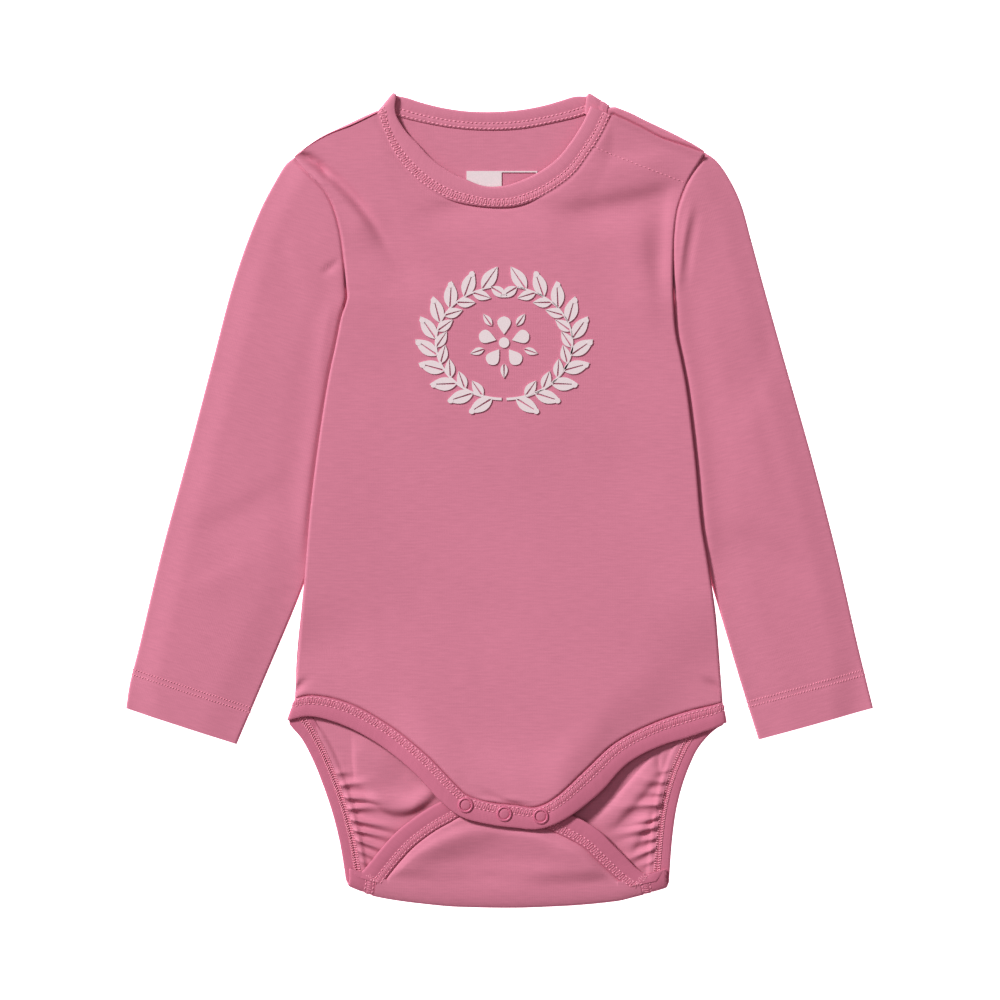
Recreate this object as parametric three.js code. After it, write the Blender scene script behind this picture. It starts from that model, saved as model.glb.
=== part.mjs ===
// A long-sleeved baby bodysuit in pink cotton jersey, laid flat on its back on a table.
// Millimetres, +Z up. The origin is under the middle of the garment, on the table.
// +Y runs from the crotch to the neck, and left and right are as seen from above the front.
//
// The back panel lies on the table. It rolls over both shoulder lines to meet the front
// panel, and its tail folds up over itself at the bottom and is pressed shut under the front
// flap with three snaps. The sleeves are flattened tubes that pass under the body's sides.
import * as THREE from "three";

// Cloth sizes
const JERSEY = 1.2; // wall of the panels and sleeves
const BAND = 1.8; // wall of the folded neckband and leg bindings
const SEAM_GAP = 0.4; // between two pieces along a seam
const SIDE_GAP = 0.35; // from a side seam to each of the two panels that meet there
const TAIL_GAP = 0.75; // between the tail and its binding, which runs aslant
const CORNER_GAP = 0.9; // between the back panel's lower corners and its binding
const ARMHOLE_GAP = 0.7; // between the body and a sleeve's armhole
const BAND_PROUD = 0.1; // how far a band stands above the cloth beside it

// Heights above the table
const SIDE_ROLL = 1.7; // radius of the fold at the body's sides
const SLEEVE_EDGE_ROLL = 1.45; // radius of the folds along a sleeve
const SLEEVE_LIFT = 3.3; // how far the body is raised where a sleeve lies under it
const LIFT_FULL = 5; // how far past the sleeve's hidden edge the body is still raised in full
const LIFT_END = 20; // and how far past it the body is back on the table
const TAIL_ROLL = 2.4; // radius of the bottom fold
const TAIL_RISE = 1.6; // how much higher the tail's end lies than its fold
const LEFT_SHOULDER_ROLL = 2.2;
const RIGHT_SHOULDER_ROLL = 1.8;
const UNDERLAP = 8; // cloth of the back that goes on under the front at the right shoulder
const NECK_ROLL_LEFT = 2.35;
const NECK_ROLL_RIGHT = 2.05;

// Snaps
const SNAP_RADIUS = 4.3;
const SNAP_RING_INNER = 2.7;
const SNAP_RING_HEIGHT = 0.8;
const SNAP_STUD_RADIUS = 3.6;
const SNAP_STUD_HEIGHT = 1.0;
const SNAP_SIDES = 12;
const SNAP_GAP = 0.3;

// Plan of the garment. Each table is one seam or edge, a row for each point that shapes it.

// Sides of the body: the armhole seam down to the armpit, then the folded side.
const BODY_LEFT = [
  { y: 188.2, x: -113.0 },
  { y: 181.2, x: -107.2 },
  { y: 169.3, x: -95.7 },
  { y: 159.7, x: -91.0 },
  { y: 145.4, x: -87.4 },
  { y: 134.7, x: -86.0 },
  { y: 118.3, x: -84.4 },
  { y: 111.9, x: -83.9 },
  { y: 100.5, x: -87.2 },
  { y: 85.6, x: -90.2 },
  { y: 69.0, x: -93.8 },
  { y: 31.9, x: -99.7 },
  { y: -4.6, x: -104.2 },
  { y: -48.1, x: -107.9 },
  { y: -99.6, x: -112.5 },
  { y: -109.0, x: -113.0 },
];
const BODY_RIGHT = [
  { y: 190.0, x: 112.9 },
  { y: 173.8, x: 103.1 },
  { y: 156.8, x: 97.5 },
  { y: 141.9, x: 95.9 },
  { y: 123.2, x: 95.4 },
  { y: 110.6, x: 95.8 },
  { y: 94.2, x: 96.9 },
  { y: 79.5, x: 99.8 },
  { y: 62.7, x: 103.0 },
  { y: 42.6, x: 105.7 },
  { y: 19.5, x: 108.3 },
  { y: -12.1, x: 111.2 },
  { y: -35.2, x: 115.0 },
  { y: -69.3, x: 119.8 },
  { y: -110.8, x: 123.2 },
];

// Shoulder lines as the back panel rolls over them, and the edges of the front beside them.
const SHOULDER_FOLD_LEFT = [
  { x: -113.0, y: 190.0 },
  { x: -104.8, y: 195.8 },
  { x: -93.8, y: 202.4 },
  { x: -79.0, y: 210.2 },
  { x: -70.2, y: 211.0 },
];
const SHOULDER_FOLD_RIGHT = [
  { x: 63.8, y: 213.4 },
  { x: 72.0, y: 213.0 },
  { x: 80.0, y: 209.0 },
  { x: 94.3, y: 202.4 },
  { x: 107.0, y: 195.8 },
  { x: 113.0, y: 192.2 },
];
const FRONT_SHOULDER_LEFT = [
  { x: -113.0, y: 188.2 },
  { x: -104.8, y: 194.4 },
  { x: -93.8, y: 200.6 },
  { x: -81.0, y: 205.6 },
  { x: -68.2, y: 211.8 },
];
const FRONT_SHOULDER_RIGHT = [
  { x: 61.9, y: 211.6 },
  { x: 77.3, y: 204.3 },
  { x: 88.8, y: 198.4 },
  { x: 96.9, y: 195.6 },
  { x: 106.4, y: 192.4 },
  { x: 112.9, y: 190.0 },
];

// Neckband: its free edge and its seam, around the front and then around the back.
const NECK_FRONT = [
  { fx: -58.6, fy: 224.6, sx: -68.0, sy: 213.2 },
  { fx: -57.6, fy: 216.5, sx: -65.9, sy: 207.0 },
  { fx: -56.0, fy: 209.0, sx: -61.6, sy: 197.6 },
  { fx: -48.2, fy: 199.6, sx: -54.6, sy: 184.6 },
  { fx: -33.6, fy: 184.6, sx: -43.6, sy: 173.6 },
  { fx: -18.4, fy: 176.3, sx: -29.6, sy: 165.4 },
  { fx: -4.4, fy: 172.2, sx: -3.8, sy: 160.7 },
  { fx: 12.4, fy: 176.0, sx: 14.0, sy: 162.5 },
  { fx: 29.3, fy: 185.6, sx: 38.6, sy: 176.2 },
  { fx: 40.4, fy: 198.6, sx: 49.9, sy: 190.2 },
  { fx: 47.1, fy: 209.8, sx: 57.9, sy: 202.8 },
  { fx: 50.0, fy: 216.2, sx: 61.7, sy: 211.2 },
];
const NECK_BACK = [
  { fx: -58.6, fy: 224.6, sx: -68.0, sy: 213.2 },
  { fx: -50.0, fy: 221.4, sx: -58.0, sy: 211.4 },
  { fx: -38.0, fy: 217.8, sx: -44.0, sy: 208.0 },
  { fx: -22.0, fy: 214.8, sx: -26.0, sy: 204.8 },
  { fx: -6.0, fy: 214.0, sx: -6.0, sy: 203.4 },
  { fx: 12.0, fy: 215.2, sx: 13.0, sy: 204.4 },
  { fx: 27.0, fy: 218.2, sx: 31.0, sy: 207.8 },
  { fx: 39.0, fy: 221.8, sx: 45.0, sy: 211.2 },
  { fx: 49.2, fy: 224.4, sx: 61.0, sy: 217.2 },
];

// Binding of the front's lower edge: left leg, crotch, right leg.
const FRONT_BINDING = [
  { fx: -117.3, fy: -121.8, sx: -113.0, sy: -109.4, z: 3.9 },
  { fx: -105.3, fy: -119.2, sx: -104.0, sy: -107.4, z: 4.0 },
  { fx: -87.6, fy: -123.4, sx: -84.6, sy: -111.0, z: 4.4 },
  { fx: -66.7, fy: -134.2, sx: -61.2, sy: -123.2, z: 5.8 },
  { fx: -46.6, fy: -150.0, sx: -38.9, sy: -140.6, z: 8.8 },
  { fx: -32.0, fy: -165.4, sx: -24.0, sy: -155.8, z: 9.9 },
  { fx: -21.1, fy: -173.6, sx: -17.6, sy: -161.6, z: 9.95 },
  { fx: -5.6, fy: -177.9, sx: -4.2, sy: -165.6, z: 9.95 },
  { fx: 8.4, fy: -179.7, sx: 9.0, sy: -167.0, z: 9.95 },
  { fx: 22.0, fy: -180.4, sx: 19.4, sy: -168.2, z: 9.95 },
  { fx: 36.5, fy: -174.8, sx: 29.6, sy: -163.8, z: 9.9 },
  { fx: 55.3, fy: -160.8, sx: 47.6, sy: -147.8, z: 7.6 },
  { fx: 70.0, fy: -145.4, sx: 62.6, sy: -134.2, z: 5.7 },
  { fx: 87.3, fy: -136.0, sx: 80.6, sy: -124.4, z: 4.7 },
  { fx: 105.0, fy: -130.4, sx: 102.0, sy: -116.6, z: 4.1 },
  { fx: 125.3, fy: -123.0, sx: 123.2, sy: -111.4, z: 3.9 },
];

// Binding of the back panel's edge, on the table from each side seam to the bottom fold.
const BACK_BINDING_LEFT = [
  { fx: -117.3, fy: -121.8, sx: -113.0, sy: -109.4 },
  { fx: -113.2, fy: -126.8, sx: -105.0, sy: -116.6 },
  { fx: -109.2, fy: -131.5, sx: -99.5, sy: -124.3 },
  { fx: -103.0, fy: -143.1, sx: -92.1, sy: -138.0 },
  { fx: -96.8, fy: -158.5, sx: -85.4, sy: -154.4 },
  { fx: -92.2, fy: -172.4, sx: -80.6, sy: -169.1 },
  { fx: -88.3, fy: -187.8, sx: -76.5, sy: -185.4 },
  { fx: -86.0, fy: -201.0, sx: -74.1, sy: -199.0 },
  { fx: -84.1, fy: -209.4, sx: -71.6, sy: -214.2 },
];
const BACK_BINDING_RIGHT = [
  { fx: 125.3, fy: -123.0, sx: 123.2, sy: -111.4 },
  { fx: 119.6, fy: -126.0, sx: 113.0, sy: -116.4 },
  { fx: 113.6, fy: -131.5, sx: 104.8, sy: -123.0 },
  { fx: 108.9, fy: -137.7, sx: 98.4, sy: -131.6 },
  { fx: 104.2, fy: -147.7, sx: 93.1, sy: -142.9 },
  { fx: 100.4, fy: -158.5, sx: 88.8, sy: -155.1 },
  { fx: 97.4, fy: -170.9, sx: 85.5, sy: -168.5 },
  { fx: 95.4, fy: -185.0, sx: 83.5, sy: -183.2 },
  { fx: 94.2, fy: -199.0, sx: 82.2, sy: -198.6 },
  { fx: 93.2, fy: -210.0, sx: 81.0, sy: -213.6 },
];
// The same binding on top, round the tail from the left end of the fold to the right end.
const TAIL_BINDING = [
  { fx: -79.6, fy: -211.2, sx: -67.0, sy: -215.4 },
  { fx: -71.3, fy: -199.4, sx: -61.5, sy: -207.4 },
  { fx: -65.2, fy: -191.7, sx: -55.6, sy: -199.9 },
  { fx: -56.7, fy: -182.4, sx: -48.0, sy: -191.5 },
  { fx: -48.2, fy: -175.5, sx: -40.6, sy: -185.4 },
  { fx: -40.4, fy: -170.1, sx: -33.6, sy: -180.7 },
  { fx: -32.0, fy: -165.4, sx: -27.2, sy: -177.2 },
  { fx: -22.0, fy: -161.2, sx: -21.0, sy: -174.0 },
  { fx: -9.0, fy: -162.4, sx: -10.6, sy: -174.8 },
  { fx: 8.0, fy: -165.4, sx: 7.0, sy: -177.8 },
  { fx: 24.0, fy: -167.0, sx: 22.6, sy: -179.6 },
  { fx: 36.0, fy: -171.4, sx: 30.2, sy: -182.8 },
  { fx: 46.4, fy: -176.2, sx: 39.6, sy: -187.2 },
  { fx: 54.9, fy: -181.7, sx: 46.9, sy: -191.8 },
  { fx: 61.9, fy: -188.7, sx: 53.2, sy: -198.0 },
  { fx: 68.8, fy: -195.6, sx: 60.4, sy: -204.8 },
  { fx: 76.5, fy: -203.3, sx: 68.4, sy: -211.4 },
  { fx: 88.2, fy: -211.6, sx: 76.0, sy: -214.8 },
];
// The bottom fold, as its outermost line.
const BOTTOM_FOLD = [
  { x: -86.0, y: -211.4 },
  { x: -82.1, y: -213.3 },
  { x: -68.3, y: -218.4 },
  { x: -43.6, y: -222.2 },
  { x: -21.7, y: -224.1 },
  { x: 5.0, y: -224.6 },
  { x: 33.3, y: -223.7 },
  { x: 64.1, y: -221.0 },
  { x: 74.2, y: -218.7 },
  { x: 91.9, y: -213.7 },
  { x: 95.0, y: -212.6 },
];

// Sleeves: the outer fold from the shoulder tip to the cuff, and the inner fold, whose upper
// part lies under the body.
const SLEEVE_OUTER_LEFT = [
  { x: -113.8, y: 188.9 },
  { x: -118.0, y: 184.8 },
  { x: -123.5, y: 176.0 },
  { x: -130.6, y: 162.8 },
  { x: -138.9, y: 143.0 },
  { x: -147.7, y: 116.6 },
  { x: -158.1, y: 77.0 },
  { x: -171.9, y: 24.2 },
  { x: -186.2, y: -28.6 },
  { x: -198.8, y: -81.4 },
  { x: -203.8, y: -101.2 },
  { x: -205.8, y: -114.6 },
];
const SLEEVE_INNER_LEFT = [
  { x: -72.0, y: 100.4 },
  { x: -76.5, y: 70.0 },
  { x: -84.5, y: 30.0 },
  { x: -95.5, y: -10.0 },
  { x: -108.6, y: -48.4 },
  { x: -130.0, y: -99.6 },
  { x: -144.8, y: -134.4 },
];
const SLEEVE_OUTER_RIGHT = [
  { x: 114.2, y: 191.2 },
  { x: 119.6, y: 187.0 },
  { x: 127.3, y: 176.0 },
  { x: 133.4, y: 162.8 },
  { x: 138.9, y: 143.0 },
  { x: 146.0, y: 116.6 },
  { x: 157.0, y: 77.0 },
  { x: 171.9, y: 24.2 },
  { x: 185.6, y: -28.6 },
  { x: 197.7, y: -81.4 },
  { x: 205.8, y: -114.4 },
];
const SLEEVE_INNER_RIGHT = [
  { x: 83.6, y: 99.4 },
  { x: 88.0, y: 70.0 },
  { x: 95.0, y: 30.0 },
  { x: 105.0, y: -10.0 },
  { x: 117.4, y: -48.4 },
  { x: 132.8, y: -100.3 },
  { x: 142.7, y: -131.9 },
];

// Heights of the upper face of the cloth
const FRONT_CENTRE = [
  { y: 214, z: 4.7 },
  { y: 160, z: 5.2 },
  { y: 90, z: 5.8 },
  { y: -60, z: 5.8 },
  { y: -120, z: 6.9 },
  { y: -168, z: 9.7 },
];
const ARMHOLE = [
  { y: 190, z: 4.9 },
  { y: 165, z: 5.0 },
  { y: 140, z: 5.1 },
  { y: 118, z: 6.3 },
];
const FRONT_TOP = [
  { x: -113, z: 4.9 },
  { x: -66, z: 4.7 },
  { x: 0, z: 4.7 },
  { x: 45, z: 5.7 },
  { x: 62, z: 6.3 },
  { x: 88, z: 5.6 },
  { x: 113, z: 5.2 },
];
const SLEEVE_SEAM = [
  { y: 191, z: 4.4 },
  { y: 165, z: 4.9 },
  { y: 145, z: 4.8 },
  { y: 125, z: 3.9 },
  { y: 112, z: 2.9 },
  { y: -140, z: 2.9 },
];
const SLEEVE_MIDDLE_HEIGHT = 4.8;
// How far in from each edge of the front its height goes on changing.
const SIDE_BLEND = 46;
const LOWER_BLEND = 34;
const UPPER_BLEND = 26;
// How far in the sleeves' height goes on rising from the armhole seam and from the outer fold,
// and how far in their soft folds start.
const SLEEVE_SEAM_BLEND = 24;
const SLEEVE_OUTER_BLEND = 15;
const SLEEVE_FOLD_START = 8;

// Stretches of y in which one form of the cloth passes into another
const ARMPIT_LIFT = [113, 125]; // the end of the body's lift over the sleeves, at the armpit
const HIP_LIFT = [-96, -50]; // the end of it at the hip
const ARMPIT_FOLD = [108, 118]; // from the fold along the body's side to the armhole
const HIP_FOLD = [-114, -104]; // from the leg binding to the fold along the body's side
const TAIL_FLAT = [-212, -200]; // from the flat bottom fold to the back's soft folds
const TAIL_SLOPE = [4, 40]; // the tail's rise, as distances from the bottom fold
const SHOULDER_ROWS_FROM = 118; // above it the back's rows follow the shoulders
const SLEEVE_SHOWN_BELOW = -48; // below it the sleeve's inner fold is clear of the body
const ARMHOLE_ROWS = [111, 185]; // rows of the body's side that shape a sleeve's armhole
const ARMPIT_POINT = { inward: 1.5, y: 104.5 }; // where the armhole turns under the body

// Soft folds: height across a line from (x0, y0) to (x1, y1), fading towards its ends.
const FRONT_FOLDS = [
  { x0: -107, y0: 189, x1: -72, y1: 150, width: 5.5, height: -1.4 },
  { x0: -104, y0: 181, x1: -82, y1: 146, width: 4.5, height: 0.8 },
  { x0: 38, y0: 160, x1: 104, y1: 172, width: 11, height: -1.1 },
  { x0: 88, y0: 168, x1: 86, y1: 122, width: 7, height: -0.9 },
  { x0: -40, y0: 157, x1: 34, y1: 157, width: 8, height: -0.7 },
  { x0: -118, y0: -112, x1: -106, y1: -97, width: 2.4, height: -0.6 },
  { x0: 127, y0: -113, x1: 112, y1: -98, width: 2.8, height: -0.7 },
  { x0: -8, y0: -160, x1: 18, y1: -163, width: 3.0, height: 0.7 },
];
const BACK_FOLDS = [
  { x0: 88, y0: -142, x1: 56, y1: -178, width: 6.0, height: 1.9 },
  { x0: 86, y0: -156, x1: 68, y1: -194, width: 4.5, height: 1.2 },
  { x0: -82, y0: -162, x1: -64, y1: -182, width: 5.0, height: 0.9 },
];
const SLEEVE_FOLDS = [
  { x0: 104, y0: 160, x1: 97, y1: 116, width: 3.4, height: 0.9 },
  { x0: -97, y0: 127, x1: -84, y1: 133, width: 2.2, height: -0.7 },
  { x0: -168, y0: -20, x1: -120, y1: 10, width: 12, height: -0.5 },
  { x0: 122, y0: -20, x1: 176, y1: -46, width: 13, height: -0.6 },
  { x0: 134, y0: 60, x1: 150, y1: -6, width: 10, height: 0.4 },
];

// Gathers along the back leg bindings, where they are stretched over elastic.
const GATHERS = { count: 8, top: -155, bottom: -203, height: 1.7, reach: 13 };

// The snaps, from left to right
const SNAPS = [
  { name: "left", x: -18.6, y: -167.0 },
  { name: "middle", x: 2.6, y: -171.8 },
  { name: "right", x: 22.6, y: -173.2 },
];

// How finely each piece is divided
const SHOULDER_STEPS = 4;
const NECK_STEPS = 14;
const ROLL_ANGLES = [0, 40, 90];
const TAIL_ROWS = 4;
const TAIL_FOLD_STEP = 45;
const SLEEVE_ROWS = 16;
const SLEEVE_STEPS = 7;
const UPPER_ROWS = [181, 174, 168, 161, 149, 138, 128, 120, 112, 105, 96];
const HIP_ROWS = [-50, -64, -78, -90, -100];
const FRONT_ROWS = [188.2, ...UPPER_ROWS, 79, 62, 41, 20, 0, -20, -35, ...HIP_ROWS, -109];
const BACK_ROWS = [187, ...UPPER_ROWS, 62, 20, -20, ...HIP_ROWS];
const LEG_ROWS = [-109.5, -114, -119, -124, -130, -137, -146];
const SLEEVE_ROLL_ANGLES = [0, 45, 90];
const SHOULDER_SHARES = [1, 0.8, 0.6, 0.4, 0.2, 0];
const BINDING_STEPS = 90;
const FLAT_BELOW_FOLD = 12; // the back's first rows on the table, below the neck's edge
const ROW_BELOW_THAT = 4;

const mix = (a, b, t) => a + (b - a) * t;
const smooth = (low, high, value) => THREE.MathUtils.smoothstep(value, low, high);
const radians = THREE.MathUtils.degToRad;

// A smooth function through a table's rows that never overshoots them.
function profile(table, from, to) {
  const rows = [...table].sort((a, b) => a[from] - b[from]);
  const last = rows.length - 1;
  const slopes = rows
    .slice(1)
    .map((row, i) => (row[to] - rows[i][to]) / (row[from] - rows[i][from]));
  const tangent = rows.map((row, i) => {
    if (i === 0) return slopes[0];
    if (i === last) return slopes[last - 1];
    const [before, after] = [slopes[i - 1], slopes[i]];
    return before * after <= 0 ? 0 : (2 * before * after) / (before + after);
  });
  return (value) => {
    if (value <= rows[0][from]) return rows[0][to];
    if (value >= rows[last][from]) return rows[last][to];
    const i = rows.findIndex((row) => row[from] > value) - 1;
    const span = rows[i + 1][from] - rows[i][from];
    const t = (value - rows[i][from]) / span;
    return (
      (1 + 2 * t) * (1 - t) * (1 - t) * rows[i][to] +
      t * (1 - t) * (1 - t) * span * tangent[i] +
      t * t * (3 - 2 * t) * rows[i + 1][to] +
      t * t * (t - 1) * span * tangent[i + 1]
    );
  };
}

// Points spaced evenly along a smooth curve through the columns x and y of a table.
function spaced(table, steps, x = "x", y = "y") {
  const points = table.map((row) => new THREE.Vector3(row[x], row[y], 0));
  return new THREE.CatmullRomCurve3(points, false, "centripetal").getSpacedPoints(steps);
}

// A piecewise straight y of x through points that run from left to right.
function straight(points) {
  return (x) => {
    const after = points.findIndex((point) => point.x > x);
    const i = after < 0 ? points.length - 1 : Math.max(after, 1);
    const [a, b] = [points[i - 1], points[i]];
    return mix(a.y, b.y, (x - a.x) / (b.x - a.x));
  };
}

function foldHeight(folds, x, y) {
  let sum = 0;
  for (const f of folds) {
    const [dx, dy] = [f.x1 - f.x0, f.y1 - f.y0];
    const length = Math.hypot(dx, dy);
    const along = ((x - f.x0) * dx + (y - f.y0) * dy) / (length * length);
    const off = ((x - f.x0) * dy - (y - f.y0) * dx) / length;
    const end = smooth(-0.15, 0.3, along) * (1 - smooth(0.6, 1.15, along));
    sum += f.height * end * Math.exp(-((off / f.width) ** 2));
  }
  return sum;
}

// Slope of a smooth curve at the first of three points on it.
function endSlope(a, b, c) {
  const ab = a.distanceTo(b);
  const ac = ab + b.distanceTo(c);
  const toB = new THREE.Vector3().subVectors(b, a).multiplyScalar(ac * ac);
  const toC = new THREE.Vector3().subVectors(c, a).multiplyScalar(ab * ab);
  return toB.sub(toC);
}

// A closed wall: the outer face is a grid of points in rows, and the inner face lies the
// wall's thickness behind it. With closed set, each row joins up into a ring.
function wall(grid, thickness, closed = false) {
  const rows = grid.length;
  const columns = grid[0].length;
  const step = (i) => (closed ? (i + columns) % columns : THREE.MathUtils.clamp(i, 0, columns - 1));
  const inner = grid.map((row, j) =>
    row.map((point, i) => {
      let across = new THREE.Vector3().subVectors(row[step(i + 1)], row[step(i - 1)]);
      if (!closed && i === 0) across = endSlope(row[0], row[1], row[2]);
      if (!closed && i === columns - 1) across = endSlope(row[i], row[i - 1], row[i - 2]).negate();
      const down = new THREE.Vector3().subVectors(
        grid[Math.min(j + 1, rows - 1)][i],
        grid[Math.max(j - 1, 0)][i],
      );
      const normal = down.cross(across).normalize();
      return point.clone().addScaledVector(normal, -thickness);
    }),
  );
  const at = (j, i, side) => (j * columns + step(i)) * 2 + side;
  const index = [];
  const quad = (a, b, c, d) => index.push(a, b, c, a, c, d);
  const spans = closed ? columns : columns - 1;
  for (let j = 0; j < rows - 1; j++)
    for (let i = 0; i < spans; i++) {
      quad(at(j, i, 0), at(j + 1, i, 0), at(j + 1, i + 1, 0), at(j, i + 1, 0));
      quad(at(j, i, 1), at(j, i + 1, 1), at(j + 1, i + 1, 1), at(j + 1, i, 1));
    }
  for (let i = 0; i < spans; i++) {
    quad(at(0, i, 1), at(0, i, 0), at(0, i + 1, 0), at(0, i + 1, 1));
    const j = rows - 1;
    quad(at(j, i, 0), at(j, i, 1), at(j, i + 1, 1), at(j, i + 1, 0));
  }
  for (let j = 0; j < rows - 1 && !closed; j++) {
    quad(at(j, 0, 0), at(j, 0, 1), at(j + 1, 0, 1), at(j + 1, 0, 0));
    const i = columns - 1;
    quad(at(j, i, 1), at(j, i, 0), at(j + 1, i, 0), at(j + 1, i, 1));
  }
  const position = grid.flatMap((row, j) =>
    row.flatMap((point, i) => [...point.toArray(), ...inner[j][i].toArray()]),
  );
  const geometry = new THREE.BufferGeometry();
  geometry.setAttribute("position", new THREE.Float32BufferAttribute(position, 3));
  geometry.setIndex(index);
  return geometry;
}

// Cross-section of a folded band, from its free edge (0) to its seam (1), and from its inner
// face (0) to its outer face (1).
const BAND_SECTION = [
  { across: 0.0, up: 0.5 },
  { across: 0.05, up: 0.95 },
  { across: 0.4, up: 1.0 },
  { across: 0.97, up: 0.9 },
  { across: 1.0, up: 0.5 },
  { across: 0.97, up: 0.05 },
  { across: 0.4, up: 0.0 },
  { across: 0.05, up: 0.05 },
];

// A band: each section has its outer face's free point, its seam point and its normal.
function band(sections, thickness) {
  const ring = BAND_SECTION.length;
  const position = sections.flatMap(({ free, seam, normal }) =>
    BAND_SECTION.flatMap(({ across, up }) =>
      new THREE.Vector3()
        .lerpVectors(free, seam, across)
        .addScaledVector(normal, (up - 1) * thickness)
        .toArray(),
    ),
  );
  const index = [];
  for (let j = 0; j < sections.length - 1; j++)
    for (let i = 0; i < ring; i++) {
      const [a, b] = [j * ring + i, j * ring + ((i + 1) % ring)];
      index.push(a, a + ring, b + ring, a, b + ring, b);
    }
  const end = (sections.length - 1) * ring;
  for (let i = 1; i < ring - 1; i++) {
    index.push(0, i, i + 1);
    index.push(end, end + i + 1, end + i);
  }
  const geometry = new THREE.BufferGeometry();
  geometry.setAttribute("position", new THREE.Float32BufferAttribute(position, 3));
  geometry.setIndex(index);
  return geometry;
}

// Pairs of free and seam points along a binding's table, with the seam's gap taken off.
function bandPairs(table, steps) {
  const free = spaced(table, steps, "fx", "fy");
  const seam = spaced(table, steps, "sx", "sy");
  return free.map((point, i) => {
    const across = new THREE.Vector3().subVectors(seam[i], point);
    across.setLength(across.length() - SEAM_GAP / 2);
    return { free: point, seam: point.clone().add(across) };
  });
}

// The pair whose seam lies at a given x or y.
function pairAt(pairs, axis, value) {
  const rising = pairs.at(-1).seam[axis] > pairs[0].seam[axis];
  const after = pairs.findIndex(({ seam }) => (rising ? seam[axis] > value : seam[axis] < value));
  const i = after < 0 ? pairs.length - 1 : Math.max(after, 1);
  const [a, b] = [pairs[i - 1], pairs[i]];
  const t = (value - a.seam[axis]) / (b.seam[axis] - a.seam[axis]);
  return {
    free: new THREE.Vector3().lerpVectors(a.free, b.free, t),
    seam: new THREE.Vector3().lerpVectors(a.seam, b.seam, t),
  };
}

// Sections of a band that turns round a fold of the cloth, from one angle to another.
// 90 degrees is its face up, 0 is out over the fold and -90 is its face down.
function turned(pair, out, radius, from, to, steps) {
  const sections = [];
  for (let k = 0; k <= steps; k++) {
    const angle = radians(mix(from, to, k / steps));
    const normal = out.clone().multiplyScalar(Math.cos(angle));
    normal.z = Math.sin(angle);
    const shift = normal.clone().multiplyScalar(radius);
    shift.addScaledVector(out, -radius);
    shift.z += radius;
    sections.push({
      free: pair.free.clone().add(shift),
      seam: pair.seam.clone().add(shift),
      normal,
    });
  }
  return sections;
}

const bodyLeft = profile(BODY_LEFT, "y", "x");
const bodyRight = profile(BODY_RIGHT, "y", "x");
const bottomFold = profile(BOTTOM_FOLD, "x", "y");
const frontCentre = profile(FRONT_CENTRE, "y", "z");
const armhole = profile(ARMHOLE, "y", "z");
const frontTop = profile(FRONT_TOP, "x", "z");
const sleeveSeam = profile(SLEEVE_SEAM, "y", "z");
const innerLeft = profile(SLEEVE_INNER_LEFT, "y", "x");
const innerRight = profile(SLEEVE_INNER_RIGHT, "y", "x");
const frontBindingHeight = profile(FRONT_BINDING, "sx", "z");

// The bands' seams, finely divided
const frontBindingPairs = bandPairs(FRONT_BINDING, BINDING_STEPS);
const backBindingLeft = bandPairs(BACK_BINDING_LEFT, BINDING_STEPS);
const backBindingRight = bandPairs(BACK_BINDING_RIGHT, BINDING_STEPS);
const tailPairs = bandPairs(TAIL_BINDING, BINDING_STEPS);
const neckFrontPairs = bandPairs(NECK_FRONT, NECK_STEPS);
const neckBackPairs = bandPairs(NECK_BACK, NECK_STEPS);

// The cloth's edge beside a band: its seam, moved on by the gap between them.
function beside({ free, seam }, gap = SEAM_GAP) {
  const across = new THREE.Vector3().subVectors(seam, free);
  return free.clone().add(across.setLength(across.length() + gap));
}
const places = (pairs) => pairs.map((pair) => beside(pair));

// How far the body's underside is raised by the sleeve under its side.
function lift(x, y) {
  const armpit = 1 - smooth(...ARMPIT_LIFT, y);
  const wedge = smooth(...HIP_LIFT, y);
  const left = 1 - smooth(LIFT_FULL, LIFT_END, x - innerLeft(y));
  const right = 1 - smooth(LIFT_FULL, LIFT_END, innerRight(y) - x);
  return SLEEVE_LIFT * armpit * wedge * Math.max(left, right);
}
const sideSeamHeight = (x, y) => lift(x, y) + SIDE_ROLL;
// How much of a side fold there is: none along the armhole, all of it below the armpit.
const sideFold = (y) => 1 - smooth(...ARMPIT_FOLD, y);

// Upper face of the front panel, before its side folds.
function frontHeight(x, y, upperEdge, lowerEdge) {
  const [left, right] = [x - bodyLeft(y), bodyRight(y) - x];
  const edge = left < right ? bodyLeft(y) : bodyRight(y);
  const side = mix(armhole(y), lift(edge, y) + 2 * SIDE_ROLL, sideFold(y));
  let z = mix(side, frontCentre(y), smooth(0, SIDE_BLEND, Math.min(left, right)));
  z = mix(frontBindingHeight(x), z, smooth(0, LOWER_BLEND, y - lowerEdge));
  z = mix(frontTop(x), z, smooth(0, UPPER_BLEND, upperEdge - y));
  return z + foldHeight(FRONT_FOLDS, x, y);
}

// Distances in from a side edge at which its fold is divided.
const rollSteps = ROLL_ANGLES.map((angle) => SIDE_ROLL * (1 - Math.cos(radians(angle))));

// Columns of a body panel: close together in the side folds, and between them one for each
// point of the line along its shoulders and neck.
function bodyColumns(topLine) {
  const start = topLine[0].x;
  const width = topLine.at(-1).x - start;
  return [
    ...rollSteps.map((s) => ({ fromLeft: s })),
    ...topLine.slice(1, -1).map((point) => ({ share: (point.x - start) / width })),
    ...[...rollSteps].reverse().map((s) => ({ fromRight: s })),
  ];
}
function columnX(column, left, right) {
  if (column.fromLeft !== undefined) return left + column.fromLeft;
  if (column.fromRight !== undefined) return right - column.fromRight;
  return mix(left, right, column.share);
}

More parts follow.
